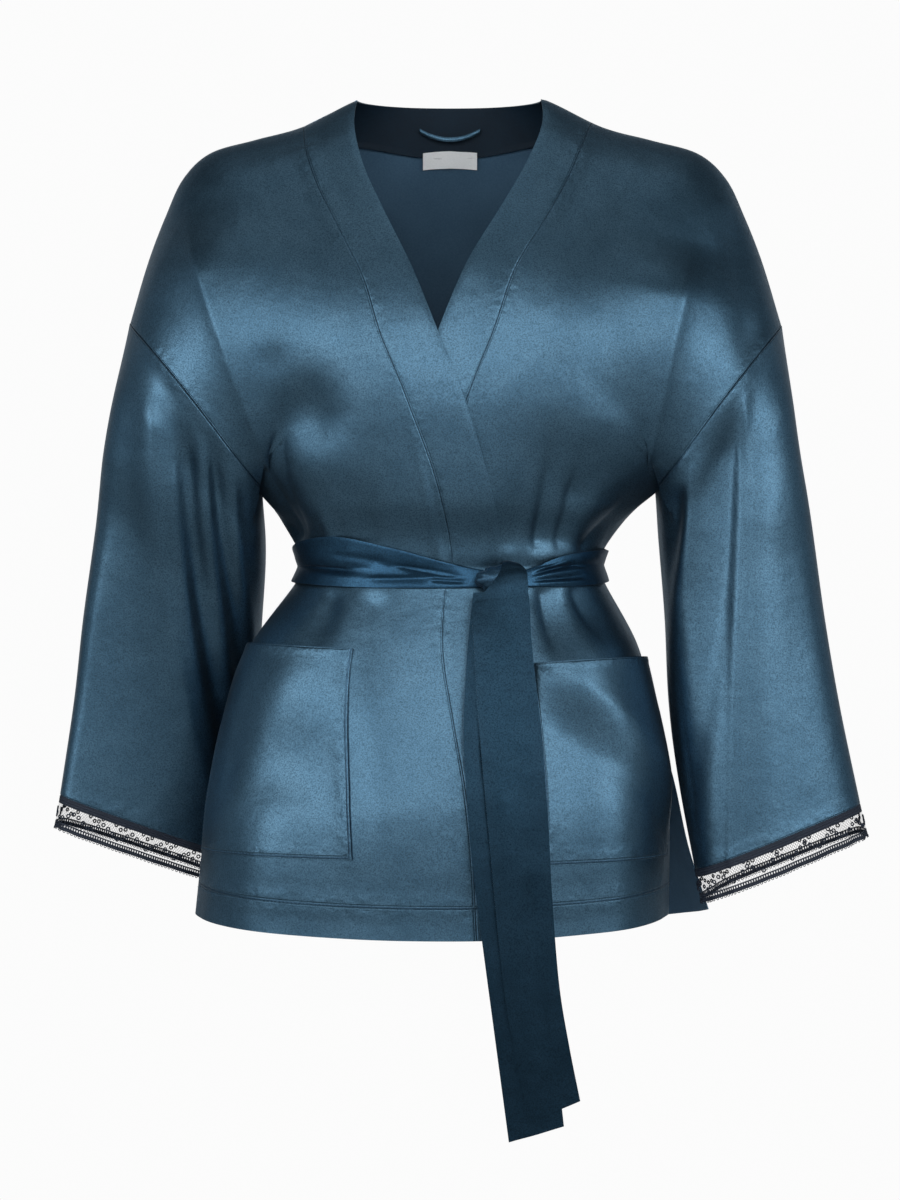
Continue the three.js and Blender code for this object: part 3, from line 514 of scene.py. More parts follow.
def makeMesh(name, vertices, faces, materials, slots=None, uv=None, masks=None, sharp=55):
    # vertices in millimetres, one array of faces with the same number of corners
    mesh = bpy.data.meshes.new(name)
    mesh.vertices.add(len(vertices))
    mesh.vertices.foreach_set("co", (vertices * 0.001).astype(np.float32).ravel())
    corners = faces.shape[1]
    mesh.loops.add(faces.size)
    mesh.loops.foreach_set("vertex_index", faces.astype(np.int32).ravel())
    mesh.polygons.add(len(faces))
    mesh.polygons.foreach_set("loop_start", np.arange(len(faces), dtype=np.int32) * corners)
    mesh.polygons.foreach_set("use_smooth", np.ones(len(faces), dtype=bool))
    if slots is not None:
        mesh.polygons.foreach_set("material_index", slots.astype(np.int32))
    mesh.update(calc_edges=True)
    if uv is not None:
        layer = mesh.uv_layers.new(name="cloth")
        layer.data.foreach_set("uv", uv.astype(np.float32).ravel())
    for maskName, values in (masks or {}).items():
        layer = mesh.attributes.new(maskName, "FLOAT", "POINT")
        layer.data.foreach_set("value", values.astype(np.float32).ravel())
    mesh.set_sharp_from_angle(angle=math.radians(sharp))
    mesh.validate()
    for material in materials:
        mesh.materials.append(material)
    piece = bpy.data.objects.new(name, mesh)
    bpy.context.scene.collection.objects.link(piece)
    return piece


def makeCloth(name, outer, inner, materials, tube=False, masks=None, uv=None):
    # a closed shell: the outer and the inner face on one grid, and a rim round its edges. A tube
    # meets itself, and its UV map has one column more
    rows, columns = outer.shape[:2]
    wide = np.concatenate((outer, outer[:, :1]), axis=1) if tube else outer
    u, v = rowLengths(wide) if uv is None else uv
    span = wide.shape[1]
    index = np.arange(rows * span).reshape(rows, span)
    vertex = np.arange(rows * columns).reshape(rows, columns)
    if tube:
        vertex = np.concatenate((vertex, vertex[:, :1]), axis=1)
    vertex = np.concatenate((vertex.ravel(), vertex.ravel() + rows * columns))
    inside = rows * span
    a, b, c, d = index[:-1, :-1], index[:-1, 1:], index[1:, 1:], index[1:, :-1]
    groups = [quads(a, b, c, d), quads(a, d, c, b) + inside]
    edges = [(index[0], -1), (index[-1], 1)]
    if not tube:
        edges += [(index[:, 0], 1), (index[:, -1], -1)]
    for edge, way in edges:
        first, second = (edge[:-1], edge[1:])[::way]
        groups.append(quads(first, second, second + inside, first + inside))
    slots = np.concatenate([np.full(len(g), 1 if n == 1 else 0) for n, g in enumerate(groups)])
    faces = np.concatenate(groups)
    vertices = np.concatenate((outer.reshape(-1, 3), inner.reshape(-1, 3)))
    if facesInward(vertices, vertex[faces]):
        faces = faces[:, ::-1]
    flat = np.stack((u.ravel(), v.ravel()), axis=1) * 0.001
    flat = np.concatenate((flat, flat))[faces.ravel()]
    double = {key: np.concatenate((m.ravel(), m.ravel())) for key, m in (masks or {}).items()}
    return makeMesh(name, vertices, vertex[faces], materials, slots=slots, uv=flat, masks=double)


stitch = {"pitch": 3.4, "length": 2.3, "width": 0.5, "lift": 0.25}


def stitchRow(line, normals):
    # small six-sided lozenges laid end to end along a line, as vertices and faces
    distance = np.concatenate(([0], np.cumsum(np.linalg.norm(np.diff(line, axis=0), axis=1))))
    count = max(int(distance[-1] / stitch["pitch"]), 2)
    at = (np.arange(count) + 0.5) * distance[-1] / count

    def along(table, at):
        return np.stack([np.interp(at, distance, table[:, k]) for k in range(3)], axis=1)

    middle, up = along(line, at), unit(along(normals, at))
    ahead = unit(along(line, at + 1) - along(line, at - 1))
    aside = np.cross(ahead, up) * stitch["width"] / 2
    ends = ahead * stitch["length"] / 2
    outline = [(-1, 0, 0), (-0.5, 1, 1), (0.5, 1, 1), (1, 0, 0), (0.5, -1, 1), (-0.5, -1, 1)]
    lift = stitch["lift"]
    shape = [middle + ends * p + aside * q + up * (lift * high) for p, q, high in outline]
    shape.append(middle + up * (lift - stitch["width"]))
    ring = np.arange(6)
    below = np.stack((ring, np.roll(ring, -1), np.full(6, 6)), axis=1)
    faces = np.concatenate((np.array([(0, 5, 1), (1, 5, 4), (1, 4, 2), (2, 4, 3)]), below))
    faces = (faces[None] + 7 * np.arange(count)[:, None, None]).reshape(-1, 3)
    return np.stack(shape, axis=1).reshape(-1, 3), faces


def joined(sets):
    # several sets of vertices and faces as one
    starts = np.cumsum([0] + [len(vertices) for vertices, _ in sets[:-1]])
    faces = [some + start for (_, some), start in zip(sets, starts)]
    return np.concatenate([vertices for vertices, _ in sets]), np.concatenate(faces)


def makeStitches(name, rows, material):
    # rows of stitches as one piece
    vertices, faces = joined([stitchRow(line, normals) for line, normals in rows])
    if facesInward(vertices, faces):
        faces = faces[:, ::-1]
    piece = makeMesh(name, vertices, faces, [material])
    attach(piece, "root")
    return piece


class Socket:
    # a value of a material's nodes that takes part in sums
    def __init__(self, nodes, socket):
        self.nodes, self.socket = nodes, socket

    def math(self, operation, other=None, turned=False):
        first, second = (other, self) if turned else (self, other)
        values = {0: first} if other is None else {0: first, 1: second}
        return self.nodes.make("Math", {"operation": operation}, values)

    def __add__(self, other):
        return self.math("ADD", other)

    def __sub__(self, other):
        return self.math("SUBTRACT", other)

    def __rsub__(self, other):
        return self.math("SUBTRACT", other, True)

    def __mul__(self, other):
        return self.math("MULTIPLY", other)

    __radd__, __rmul__ = __add__, __mul__

    def sine(self):
        return self.math("SINE")

    def size(self):
        return self.math("ABSOLUTE")

    def step(self, low, high):
        limits = {"Value": self, "From Min": low, "From Max": high}
        return self.nodes.make("MapRange", {"interpolation_type": "SMOOTHSTEP"}, limits)


class Nodes:
    # the nodes of one material, or of the world
    def __init__(self, owner):
        owner.use_nodes = True
        self.owner, self.tree = owner, owner.node_tree
        self.shader = self.tree.nodes.get("Principled BSDF")

    def make(self, kind, settings, values, out=0):
        # any node: its settings first, then the values or links of its sockets
        node = self.tree.nodes.new("ShaderNode" + kind)
        for name, value in settings.items():
            setattr(node, name, value)
        for name, value in values.items():
            self.put(node.inputs[name], value)
        return Socket(self, node.outputs[out])

    def put(self, target, value):
        if isinstance(value, Socket):
            self.tree.links.new(value.socket, target)
        else:
            target.default_value = value

    def shade(self, **values):
        for name, value in values.items():
            self.put(self.shader.inputs[name.replace("_", " ")], value)

    def place(self):
        return self.make("TexCoord", {}, {}, "Object")

    def flat(self):
        return self.make("UVMap", {"uv_map": "cloth"}, {})

    def part(self, vector, axis):
        return self.make("SeparateXYZ", {}, {0: vector}, axis)

    def mask(self, name):
        return self.make("Attribute", {"attribute_name": name}, {}, "Fac")

    def noise(self, vector, scale, detail=2.0, rough=0.5):
        values = {"Vector": vector, "Scale": scale, "Detail": detail, "Roughness": rough}
        return self.make("TexNoise", {}, values)

    def mix(self, part, first, second):
        return self.make("Mix", {"data_type": "RGBA"}, {0: part, 6: first, 7: second}, 2)

    def bump(self, height, strength, distance, normal=None):
        values = {"Height": height, "Strength": strength, "Distance": distance}
        if normal is not None:
            values["Normal"] = normal
        return self.make("Bump", {}, values)


satin = {
    "light": (0.078, 0.152, 0.218, 1),
    "deep": (0.058, 0.120, 0.178, 1),
    "inside": (0.056, 0.112, 0.176, 1),
    "insideDeep": (0.042, 0.088, 0.142, 1),
    "roughness": 0.42,
    "metallic": 0.97,
    "sheen": 0.03,
    "grain": 900,
    "thread": 2600,
    "crinkle": 26,
    "pucker": 110,
    "puckerReach": (2, 16),  # how far from a seam its puckers die away
    "seamLineAndEdgeShade": (0.02, 0.045, 0.08, 1),
}


def satinMaterial(name, light, deep, roughness, metallic, seams=True):
    # a smooth face with fine grain, faint crinkles, puckers beside the seams and soft mottling
    nodes = Nodes(bpy.data.materials.new(name))
    place, flat = nodes.place(), nodes.flat()
    along, down = nodes.part(flat, "X"), nodes.part(flat, "Y")
    mottle = nodes.noise(place, 9, 3) * 0.6 + nodes.noise(place, 60, 2) * 0.4
    grain = nodes.noise(place, satin["grain"], 1)
    colour = nodes.mix(mottle.step(0.3, 0.7), deep, light)
    colour = nodes.mix((grain - 0.5) * 2.4 + 0.3, colour, [0.55 * part for part in deep[:3]] + [1])
    twill = ((along + down) * (satin["thread"] * 2)).sine()
    crinkle = nodes.noise(place, satin["crinkle"], 4, 0.55)
    normal = nodes.bump(crinkle, 0.25, 0.004)
    if seams:
        seam = nodes.mask("seam").math("MINIMUM", nodes.mask("stitchLine").size())
        pucker = nodes.noise(place, satin["pucker"], 2) * (1 - seam.step(*satin["puckerReach"]))
        normal = nodes.bump(pucker, 0.5, 0.0016, normal)
        line = 1 - (seam - 1.2).size().step(0.1, 0.9)
        normal = nodes.bump(1 - line, 0.6, 0.0006, normal)
        # dark lines along the seams and stitches; along a pocket's mouth the same line is painted
        # shade of its folded edge
        colour = nodes.mix((1 - seam.step(0, 1.1)) * 0.6, colour, satin["seamLineAndEdgeShade"])
    normal = nodes.bump(grain * 0.6 + twill * 0.12, 0.16, 0.0003, normal)
    nodes.shade(
        Base_Color=colour,
        Roughness=roughness + (mottle - 0.5) * 0.1 + (grain - 0.5) * 0.08,
        Metallic=metallic,
        Normal=normal,
        Sheen_Weight=satin["sheen"],
        Sheen_Roughness=0.4,
    )
    return nodes.owner


def plainMaterial(name, colour, deep, roughness, scale=700, strength=0.3):
    # a matt fabric with fine grain
    nodes = Nodes(bpy.data.materials.new(name))
    place = nodes.place()
    grain = nodes.noise(place, scale, 2)
    mottle = nodes.noise(place, 30, 2)
    nodes.shade(
        Base_Color=nodes.mix((grain * 0.6 + mottle * 0.4).step(0.3, 0.7), deep, colour),
        Specular_IOR_Level=0.15,
        Roughness=roughness + (grain - 0.5) * 0.15,
        Normal=nodes.bump(grain, strength, 0.0003),
    )
    return nodes.owner


# Colour, deeper colour and roughness of the other cloths, then how metallic a satin is, or a plain
# cloth's grain and its strength.
otherFaces = {
    # the tails: a darker copy of the belt satin of the waist and the knot, painted shade on the
    # flat hanging strips
    "beltTailShadedSatin": ((0.013, 0.036, 0.06, 1), (0.008, 0.025, 0.043, 1), 0.4, 0.92),
    "beltWaistSatin": ((0.03, 0.084, 0.145, 1), (0.018, 0.056, 0.102, 1), 0.4, 0.92),
    "beltKnotSatin": ((0.036, 0.085, 0.135, 1), (0.022, 0.058, 0.1, 1), 0.42, 0.85),
    # the inner face of the band behind the neck: a near-black copy of the inside cloth, painted
    # shade
    "bandInsidePaintedShade": ((0.004, 0.013, 0.024, 1), (0.003, 0.009, 0.017, 1), 0.7),
    "thread": ((0.05, 0.11, 0.17, 1), (0.035, 0.08, 0.13, 1), 0.5),
    "labelWeave": ((0.97, 0.97, 0.97, 1), (0.9, 0.9, 0.9, 1), 0.7, 900, 0.4),
}
satinFace = satinMaterial(
    "satin", satin["light"], satin["deep"], satin["roughness"], satin["metallic"]
)
satinInside = plainMaterial("satinInside", satin["inside"], satin["insideDeep"], 0.6)
beltTailShadedFace, beltWaistFace, beltKnotFace = (
    satinMaterial(name, *otherFaces[name], seams=False)
    for name in ("beltTailShadedSatin", "beltWaistSatin", "beltKnotSatin")
)
bandInsidePaintedShade, thread, labelFace = (
    plainMaterial(name, *otherFaces[name]) for name in ("bandInsidePaintedShade", "thread", "labelWeave")
)
clothFaces = [satinFace, satinInside]
print("materials made")

# How finely each panel is divided, and the neckband's walls.
panels = {
    "frontColumns": 92,
    "frontRows": 225,
    "bandColumns": 22,
    "bandWall": 1.6,
    "backOuter": 48,
    "backNeck": 56,
    "backRows": 215,
    "neckGrid": (90, 20),
    "neckWall": 1.3,
    "neckBelow": -0.07,  # how far the neckband goes on below its seam behind the back
    "neckTuck": 1.3,
}
backColumns = 2 * panels["backOuter"] + panels["backNeck"]


def flatSheet(piece, node):
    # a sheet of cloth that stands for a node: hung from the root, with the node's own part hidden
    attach(piece, "root")
    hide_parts(node)


def seamDistance(grid, right=True, top=True, bottom=False):
    # millimetres from each point to the nearest sewn edge of its own grid
    u, v = rowLengths(grid)
    far = u
    if right:
        far = np.minimum(far, u[:, -1:] - u)
    if top:
        far = np.minimum(far, v)
    if bottom:
        far = np.minimum(far, v[-1:] - v)
    return far


def seamMasks(far, fromStitches=99.0):
    # distance from the sewn edges, and signed distance from a line of stitches
    return {"seam": far, "stitchLine": fromStitches + 0 * far}


def bodyMasks(grid, right=True):
    v = rowLengths(grid)[1]
    return seamMasks(seamDistance(grid, right) + 0.5, v[-1:] - v - body["hemDepth"])


fronts = {}
for side, hand in hands.items():
    u, v = steps(panels["frontColumns"], panels["frontRows"])
    outer, inner = (frontPoint(hand, u, v, lift) for lift in (0.0, -body["wall"]))
    name = f"front_{side}_satin"
    fronts[side] = makeCloth(name, outer, inner, clothFaces, masks=bodyMasks(outer))


def neckSeam(turn):
    # the neckband's seam round the back of the neck: turn 0 and 180 degrees on the ridge
    right = np.cos(turn) > 0
    ridge = reachAt(0, np.where(right, body["seamR"][0], body["seamL"][0]))
    return ridge * np.abs(np.cos(turn)), -body["neckSeamLevel"] * np.sin(turn)


def backPoint(u, v, lift):
    # u from the right side over the neck to the left one, v from the ridge or the neck to the hem
    place = u * backColumns - panels["backOuter"]
    turn = np.clip(place / panels["backNeck"], 0, 1) * np.pi
    seamReach, seamLevel = neckSeam(turn[0])
    outside = np.maximum(np.maximum(-place, place - panels["backNeck"]), 0) / panels["backOuter"]
    reach = blend(seamReach[None], np.sign(u - 0.5), outside)
    point = bodyPoint(reach, blend(seamLevel[None], -hemLevel, v), lift)
    point[..., 1] += body["seamGap"] / 2
    return point


u, v = steps(backColumns + 1, panels["backRows"])
outer, inner = (backPoint(u, v, lift) for lift in (0.0, -body["wall"]))
backPiece = makeCloth("back_satin", outer, inner, clothFaces, masks=bodyMasks(outer))


def bandPoint(hand, u, v, lift):
    # the neckband down a front: u from its seam to its free edge, v from the ridge to the hem
    level = v * hemLevel
    name = "R" if hand < 0 else "L"
    seam = column(body["seam" + name], level) - hand * body["seamGap"] / 2
    x = blend(seam, column(body["edge" + name], level), u)
    point = bodyPoint(reachAt(level, x), level, lapLift(hand, level, x) + lift)
    point[..., 1] -= body["seamGap"] / 2
    return point


bands = {}
for side, hand in hands.items():
    u, v = steps(panels["bandColumns"], panels["frontRows"])
    roll = -1.0 * ease(u, 0.9, 1)  # the folded edge turns in a little
    outer = bandPoint(hand, u, v, roll * 0.6)
    inner = bandPoint(hand, u, v, -panels["bandWall"] - roll * 0.5)
    name = f"neckband_{side}_satin"
    bands[side] = makeCloth(name, outer, inner, clothFaces, masks=bodyMasks(outer, right=False))


def backBandPoint(turn, up):
    # the band stands up from its seam round the neck to its top edge
    reach, level = neckSeam(turn)
    edge = np.where(np.cos(turn) > 0, body["edgeR"][0], body["edgeL"][0])
    top = points(edge * np.abs(np.cos(turn)), body["neckTopBack"] * np.sin(turn), np.sin(turn))
    return blend(bodyPoint(reach, level), top, up[..., None])


def backBandWall(u, v, depth):
    # its lower edge tucks in behind the back's upper edge
    step = 0.01
    turn, up = np.broadcast_arrays(u * np.pi, blend(panels["neckBelow"], 1, v))
    along = backBandPoint(turn + step, up) - backBandPoint(turn - step, up)
    rise = backBandPoint(turn, up + step) - backBandPoint(turn, up - step)
    tuck = panels["neckTuck"] * (1 - ease(up, -0.015, 0.03))
    point = backBandPoint(turn, up) - unit(np.cross(rise, along)) * (depth + tuck)[..., None]
    point[..., 1] += body["seamGap"] / 2
    return point


u, v = steps(*panels["neckGrid"])
outer, inner = (backBandWall(u, v, depth) for depth in (0.0, panels["neckWall"]))
masks = seamMasks(seamDistance(outer))
# its inner face gets the near-black inside cloth: painted shade inside the collar
backBand = makeCloth("neckband_back_satin", outer, inner, [satinFace, bandInsidePaintedShade], masks=masks)
print("body panels made")

# Steps round and down each sleeve, its wall, and how flat it hangs: a power of a sine, 1 where it
# is an ellipse.
sleeveLook = {
    "around": 132,
    "down": 190,
    "wall": 0.9,
    "innerPower": 0.8,
    "outerPower": 0.42,
    "foldDepth": 2,
}


def flattened(angle):
    # a sleeve hangs flatter than an ellipse, most on its outer half: the sine to a power below 1
    outside = ease(np.cos(angle), -0.3, 0.5)
    power = blend(sleeveLook["innerPower"], sleeveLook["outerPower"], outside)
    return np.sign(np.sin(angle)) * np.hypot(np.sin(angle), 0.05) ** power


def sleeveRing(side, row, angle):
    # a flattened ellipse across the outer and the inner line; its top follows the armhole
    table = sleeves[side]
    along = (1 + np.cos(angle)) / 2
    rise = body["armholeRise"] * np.sin(angle) ** 2 * (1 - ease(row, 0, 1.5))
    return points(
        blend(column(table["innerX"], row), column(table["outerX"], row), along),
        blend(column(table["innerY"], row), column(table["outerY"], row), along)
        - column(table["halfDepth"], row) * flattened(angle),
        blend(column(table["innerZ"], row), column(table["outerZ"], row), along) + rise,
    )


def sleevePoint(side, angle, row, past=0.0, depth=0.0):
    # angle 0 at the outer line, 90 degrees in front and 180 at the underarm, row from the armhole
    # to the cuff, past in millimetres below the cuff and depth inwards. The first rings follow
    # the body's edge
    angle, row = np.broadcast_arrays(angle, row)
    hand = hands[side]
    step = 0.01
    # the outward direction, across the directions along and round the sleeve
    base = sleeveRing(side, row, angle)
    back = np.minimum(row, cuffRow - step)
    down = unit(sleeveRing(side, back + step, angle) - sleeveRing(side, back, angle))
    around = unit(sleeveRing(side, row, angle + step) - sleeveRing(side, row, angle - step))
    normal = unit(np.cross(around, down) * hand)
    x, z = base[..., 0], base[..., 2]
    inFront, behind = (creaseHeight(creases[side + end], x, z, "down") for end in ("Front", "Back"))
    folds = np.where(np.sin(angle) >= 0, inFront, behind)
    folds = folds * sleeveLook["foldDepth"] * np.minimum(np.abs(np.sin(angle)) / 0.35, 1)
    folds = folds * ease(row, 0, 0.6)
    # the body's edge at the same angle round the armhole
    level = np.arctan2(np.sin(angle), np.cos(angle)) / np.pi * body["underarmLevel"]
    sewn = 1 - ease(row, 0, 0.8)
    lean = 1 - ease(np.abs(level), 3.6, 5.4)
    edge = bodyPoint(np.full(level.shape, float(hand)), level)
    edgeNormal = bodyNormal(np.full(level.shape, float(hand)), level)
    normal = unit(blend(normal, edgeNormal, (sewn * lean)[..., None]))
    shift = np.array((hand, 0, -0.5)) / math.hypot(1, 0.5) * armholeGap
    return (
        base
        + (edge - sleeveRing(side, 0 * row, angle)) * sewn[..., None]
        + shift * sewn[..., None]
        + down * np.asarray(past)[..., None]
        + normal * (folds - depth)[..., None]
    )


sleevePieces = {}
for side in hands:
    angle = turns(sleeveLook["around"])
    row = np.linspace(0, cuffRow, sleeveLook["down"])[:, None]
    outer = sleevePoint(side, angle, row)
    inner = sleevePoint(side, angle, row, depth=sleeveLook["wall"])
    u, v = rowLengths(outer)
    seam = np.minimum(v, np.abs(v[-1:] - v) + 1.0)
    sleevePieces[side] = makeCloth(
        f"sleeve_{side}_satin", outer, inner, clothFaces, tube=True, masks=seamMasks(seam)
    )
print("sleeves made")

# The lace in millimetres below the cuff, then its net, its rings along a zigzag and its picots.
laceLook = {
    "dark": (0.008, 0.011, 0.019, 1),
    "light": (0.03, 0.038, 0.056, 1),
    "band": 6.8,  # how far the dense band, the net, the ladder and the whole reach
    "net": 22.0,
    "ladder": 24.8,
    "depth": 28,
    "wave": 1.1,
    "around": 400,
    "cell": 2.4,
    "netCover": 0.3,
    "bar": 2.2,
    "rib": 2.2,
    "ringPitch": 4.4,
    "ringRadius": 1.4,
    "ringCord": 0.6,
    "zigzag": 4.3,
    "zigzagPitch": 26,
    "chainAt": 14.8,
    "picotPitch": 3.3,
    "tooth": 1.1,
    "picotRadius": 1.0,
    "picotCord": 0.32,
    "ringSides": 10,
    "cordSides": 5,
}


def laceMaterial():
    # by distance below the cuff: a dense ribbed band, an open net of small lozenges, a line, a
    # ladder of bars and a dense foot
    nodes = Nodes(bpy.data.materials.new("laceNet"))
    flat = nodes.flat()
    across, down = nodes.part(flat, "X") * 1000, nodes.part(flat, "Y") * 1000
    turn = 2 * math.pi
    first = ((across + down * 0.8) * (turn / 2 / laceLook["cell"])).sine().size()
    second = ((across - down * 0.8) * (turn / 2 / laceLook["cell"])).sine().size()
    net = (1 - first.step(0.14, 0.34) * second.step(0.14, 0.34)) * laceLook["netCover"]
    bars = 1 - (across * (turn / laceLook["bar"])).sine().step(-0.1, 0.3)
    band = 1 - down.step(laceLook["band"] - 0.3, laceLook["band"] + 0.3)
    line = 1 - (down - laceLook["net"] - 0.6).size().step(0.4, 0.7)
    foot = down.step(laceLook["ladder"] - 0.2, laceLook["ladder"] + 0.2)
    ladder = down.step(laceLook["net"], laceLook["net"] + 0.4) * bars
    alpha = (band + line + foot + ladder + net).math("MINIMUM", 1)
    grain = nodes.noise(nodes.place(), 900, 2)
    ribs = (down * (turn / laceLook["rib"])).sine() * 0.5 + 0.5
    teeth = (across * (turn / laceLook["tooth"])).sine() * 0.5 + 0.5
    nodes.shade(
        Base_Color=nodes.mix(
            grain * 0.3 + ribs * 0.4 + teeth * 0.2, laceLook["dark"], laceLook["light"]
        ),
        Roughness=0.6 + (grain - 0.5) * 0.2,
        Specular_IOR_Level=0.2,
        Alpha=alpha,
        Normal=nodes.bump(ribs * 0.6 + teeth * 0.3 + grain * 0.2, 0.7, 0.0006),
    )
    return nodes.owner


laceNet = laceMaterial()
laceCord = plainMaterial("laceCord", laceLook["light"], laceLook["dark"], 0.6)


def torusSet(centres, axisX, axisY, radius, cord):
    # many small rings in one mesh: each centre has its own two axes in the ring's plane
    around, section = laceLook["ringSides"], laceLook["cordSides"]
    turn, twist = turns(around).T, turns(section)
    reach = radius + cord * np.cos(twist)
    flatX, flatY = reach * np.cos(turn), reach * np.sin(turn)
    high = cord * np.sin(twist) + 0 * turn
    axisZ = np.cross(axisX, axisY)
    shape = (
        centres[:, None, None]
        + flatX[None, ..., None] * axisX[:, None, None]
        + flatY[None, ..., None] * axisY[:, None, None]
        + high[None, ..., None] * axisZ[:, None, None]
    )
    i, j = np.meshgrid(np.arange(around), np.arange(section), indexing="ij")
    nextI, nextJ = (i + 1) % around, (j + 1) % section
    faces = quads(
        i * section + j, nextI * section + j, nextI * section + nextJ, i * section + nextJ
    )
    faces = faces[None] + around * section * np.arange(len(centres))[:, None, None]
    return shape.reshape(-1, 3), faces.reshape(-1, 4)


def laceWave(angle, past):
    # how far the lace ripples in and out, most at its lower edge
    ripple = laceLook["wave"] * np.sin(angle * 17 + 1.3 * np.sin(3 * angle))
    return ripple * (np.maximum(past, 0) / laceLook["depth"]) ** 1.5


def roundCuff(lengths, pitch):
    # places at an even pitch round the cuff: the distance and the angle of each
    count = int(lengths[-1] / pitch)
    along = (np.arange(count) + 0.5) * lengths[-1] / count
    return along, np.interp(along, lengths, np.linspace(0, 2 * np.pi, len(lengths)))


def laceRings(side, angle, past, radius, cord):
    # rings that lie in the lace at some angles and distances below the cuff
    row = np.full(angle.shape, float(cuffRow))
    depth = -laceWave(angle, past)

    def onLace(turned=0.0, lower=0.0):
        return sleevePoint(side, angle + turned, row, past=past + lower, depth=depth)

    middle = onLace()
    axisX = unit(onLace(0.02) - onLace(-0.02))
    down = onLace(lower=1) - middle
    axisY = unit(down - axisX * np.sum(down * axisX, axis=-1, keepdims=True))
    return torusSet(middle, axisX, axisY, radius, cord)


lacePieces = {}
for side in hands:
    angle = turns(laceLook["around"])
    past = np.array([-0.6, 0.4, 1.4, 3.5, 6, 8.5, 11, 14, 17, 20, 23, 25.5, 28])[:, None]
    inset = 1.0 - ease(past, 0, 1.2) - laceWave(angle, past)  # sewn behind the sleeve's edge
    outer = sleevePoint(side, angle, cuffRow, past=past + 0 * angle, depth=inset)
    inner = sleevePoint(side, angle, cuffRow, past=past + 0 * angle, depth=inset + 0.35)
    lengths = rowLengths(np.concatenate((outer, outer[:, :1]), axis=1))[0][0]
    u = np.repeat(lengths[None], len(past), axis=0)
    uv = (u, past + 0 * u)
    lace = makeCloth(f"lace_{side}_net", outer, inner, [laceNet, laceNet], tube=True, uv=uv)
    # the zigzag of small rings, and the picot loops along the lower edge
    along, ringAngle = roundCuff(lengths, laceLook["ringPitch"])
    part = along / laceLook["zigzagPitch"] % 1
    swing = laceLook["zigzag"] * (2 * np.abs(2 * part - 1) - 1)
    picotAngle = roundCuff(lengths, laceLook["picotPitch"])[1]
    picotPast = np.full(picotAngle.shape, laceLook["depth"] + 0.2)
    ringSize = laceLook["ringRadius"], laceLook["ringCord"]
    picotSize = laceLook["picotRadius"], laceLook["picotCord"]
    rings = laceRings(side, ringAngle, laceLook["chainAt"] + swing, *ringSize)
    picots = laceRings(side, picotAngle, picotPast, *picotSize)
    trim = makeMesh(f"lace_{side}_rings", *joined([rings, picots]), [laceCord])
    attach(trim, "root")
    lacePieces[side] = (lace, trim, lengths[-1] * 0.001)
print("lace made")

# Each pocket's mouth and foot, and its inner and outer side, in the rows and columns of a front;
# how full it is, how strong its diagonal fold is, and where its fullness falls away.
pockets = {
    "right": {
        "mouth": (20, 26), "sides": (5, 16), "full": 6.5, "diagonal": 2, "aslant": 0,
        "falls": (-0.1, 0.7),
    },
    "left": {
        "mouth": (20.4, 26.15), "sides": (5, 15), "full": 15, "diagonal": 1.5, "aslant": 0.67,
        "falls": (-0.08, 0.3),
    },
    "grid": (56, 62),
    "columns": 17,
    "rows": 28,
    "gap": 0.7,
    "wall": 0.9,
    "roll": 0.9,
    "stitchInset": 0.013,
    "footStitch": 0.988,
}


def onPocket(side, p, q, lift):
    # p from the inner to the outer side of a pocket and q from its mouth down, on its front
    u = blend(*pockets[side]["sides"], p) / pockets["columns"]
    v = blend(*pockets[side]["mouth"], q) / pockets["rows"]
    return frontPoint(hands[side], u, v, lift)


pocketPieces = {}
for side in hands:
    cut = pockets[side]
    p, q = steps(*pockets["grid"])
    # fullest at the mouth, and falling away along a line that may run aslant
    fullness = np.sin(np.pi * p) ** 0.5 * (1 - ease(q - cut["aslant"] * p, *cut["falls"]))
    # a soft fold from the top inner corner, and slight hollows along the sewn edges
    diagonal = bell(p - 0.25 - 0.5 * q, 0.11) - 0.9 * bell(p - 0.52 - 0.4 * q, 0.1)
    diagonal = diagonal * cut["diagonal"]
    edges = np.sin(np.pi * p) * np.sin(np.pi * np.clip(q * 1.02, 0, 1)) ** 0.6
    swell = cut["full"] * fullness + diagonal * edges
    rolled = pockets["roll"] * bell(q - 0.008, 0.012)  # the folded upper edge
    lift = pockets["gap"] + pockets["wall"] + np.maximum(swell, -0.3) + rolled
    outer = onPocket(side, p, q, lift)
    inner = onPocket(side, p, q, pockets["gap"] - 0.25 + np.maximum(swell, 0))
    fromStitches = seamDistance(outer, top=False, bottom=True) - 1.6
    # the mouth is counted as a sewn edge, so it gets the dark seam line: painted shade of the
    # folded upper edge
    masks = seamMasks(rowLengths(outer)[1] + 0.2, fromStitches)
    name = f"pocket_{side}_satin"
    pocketPieces[side] = makeCloth(name, outer, inner, clothFaces, masks=masks)
print("pockets made")

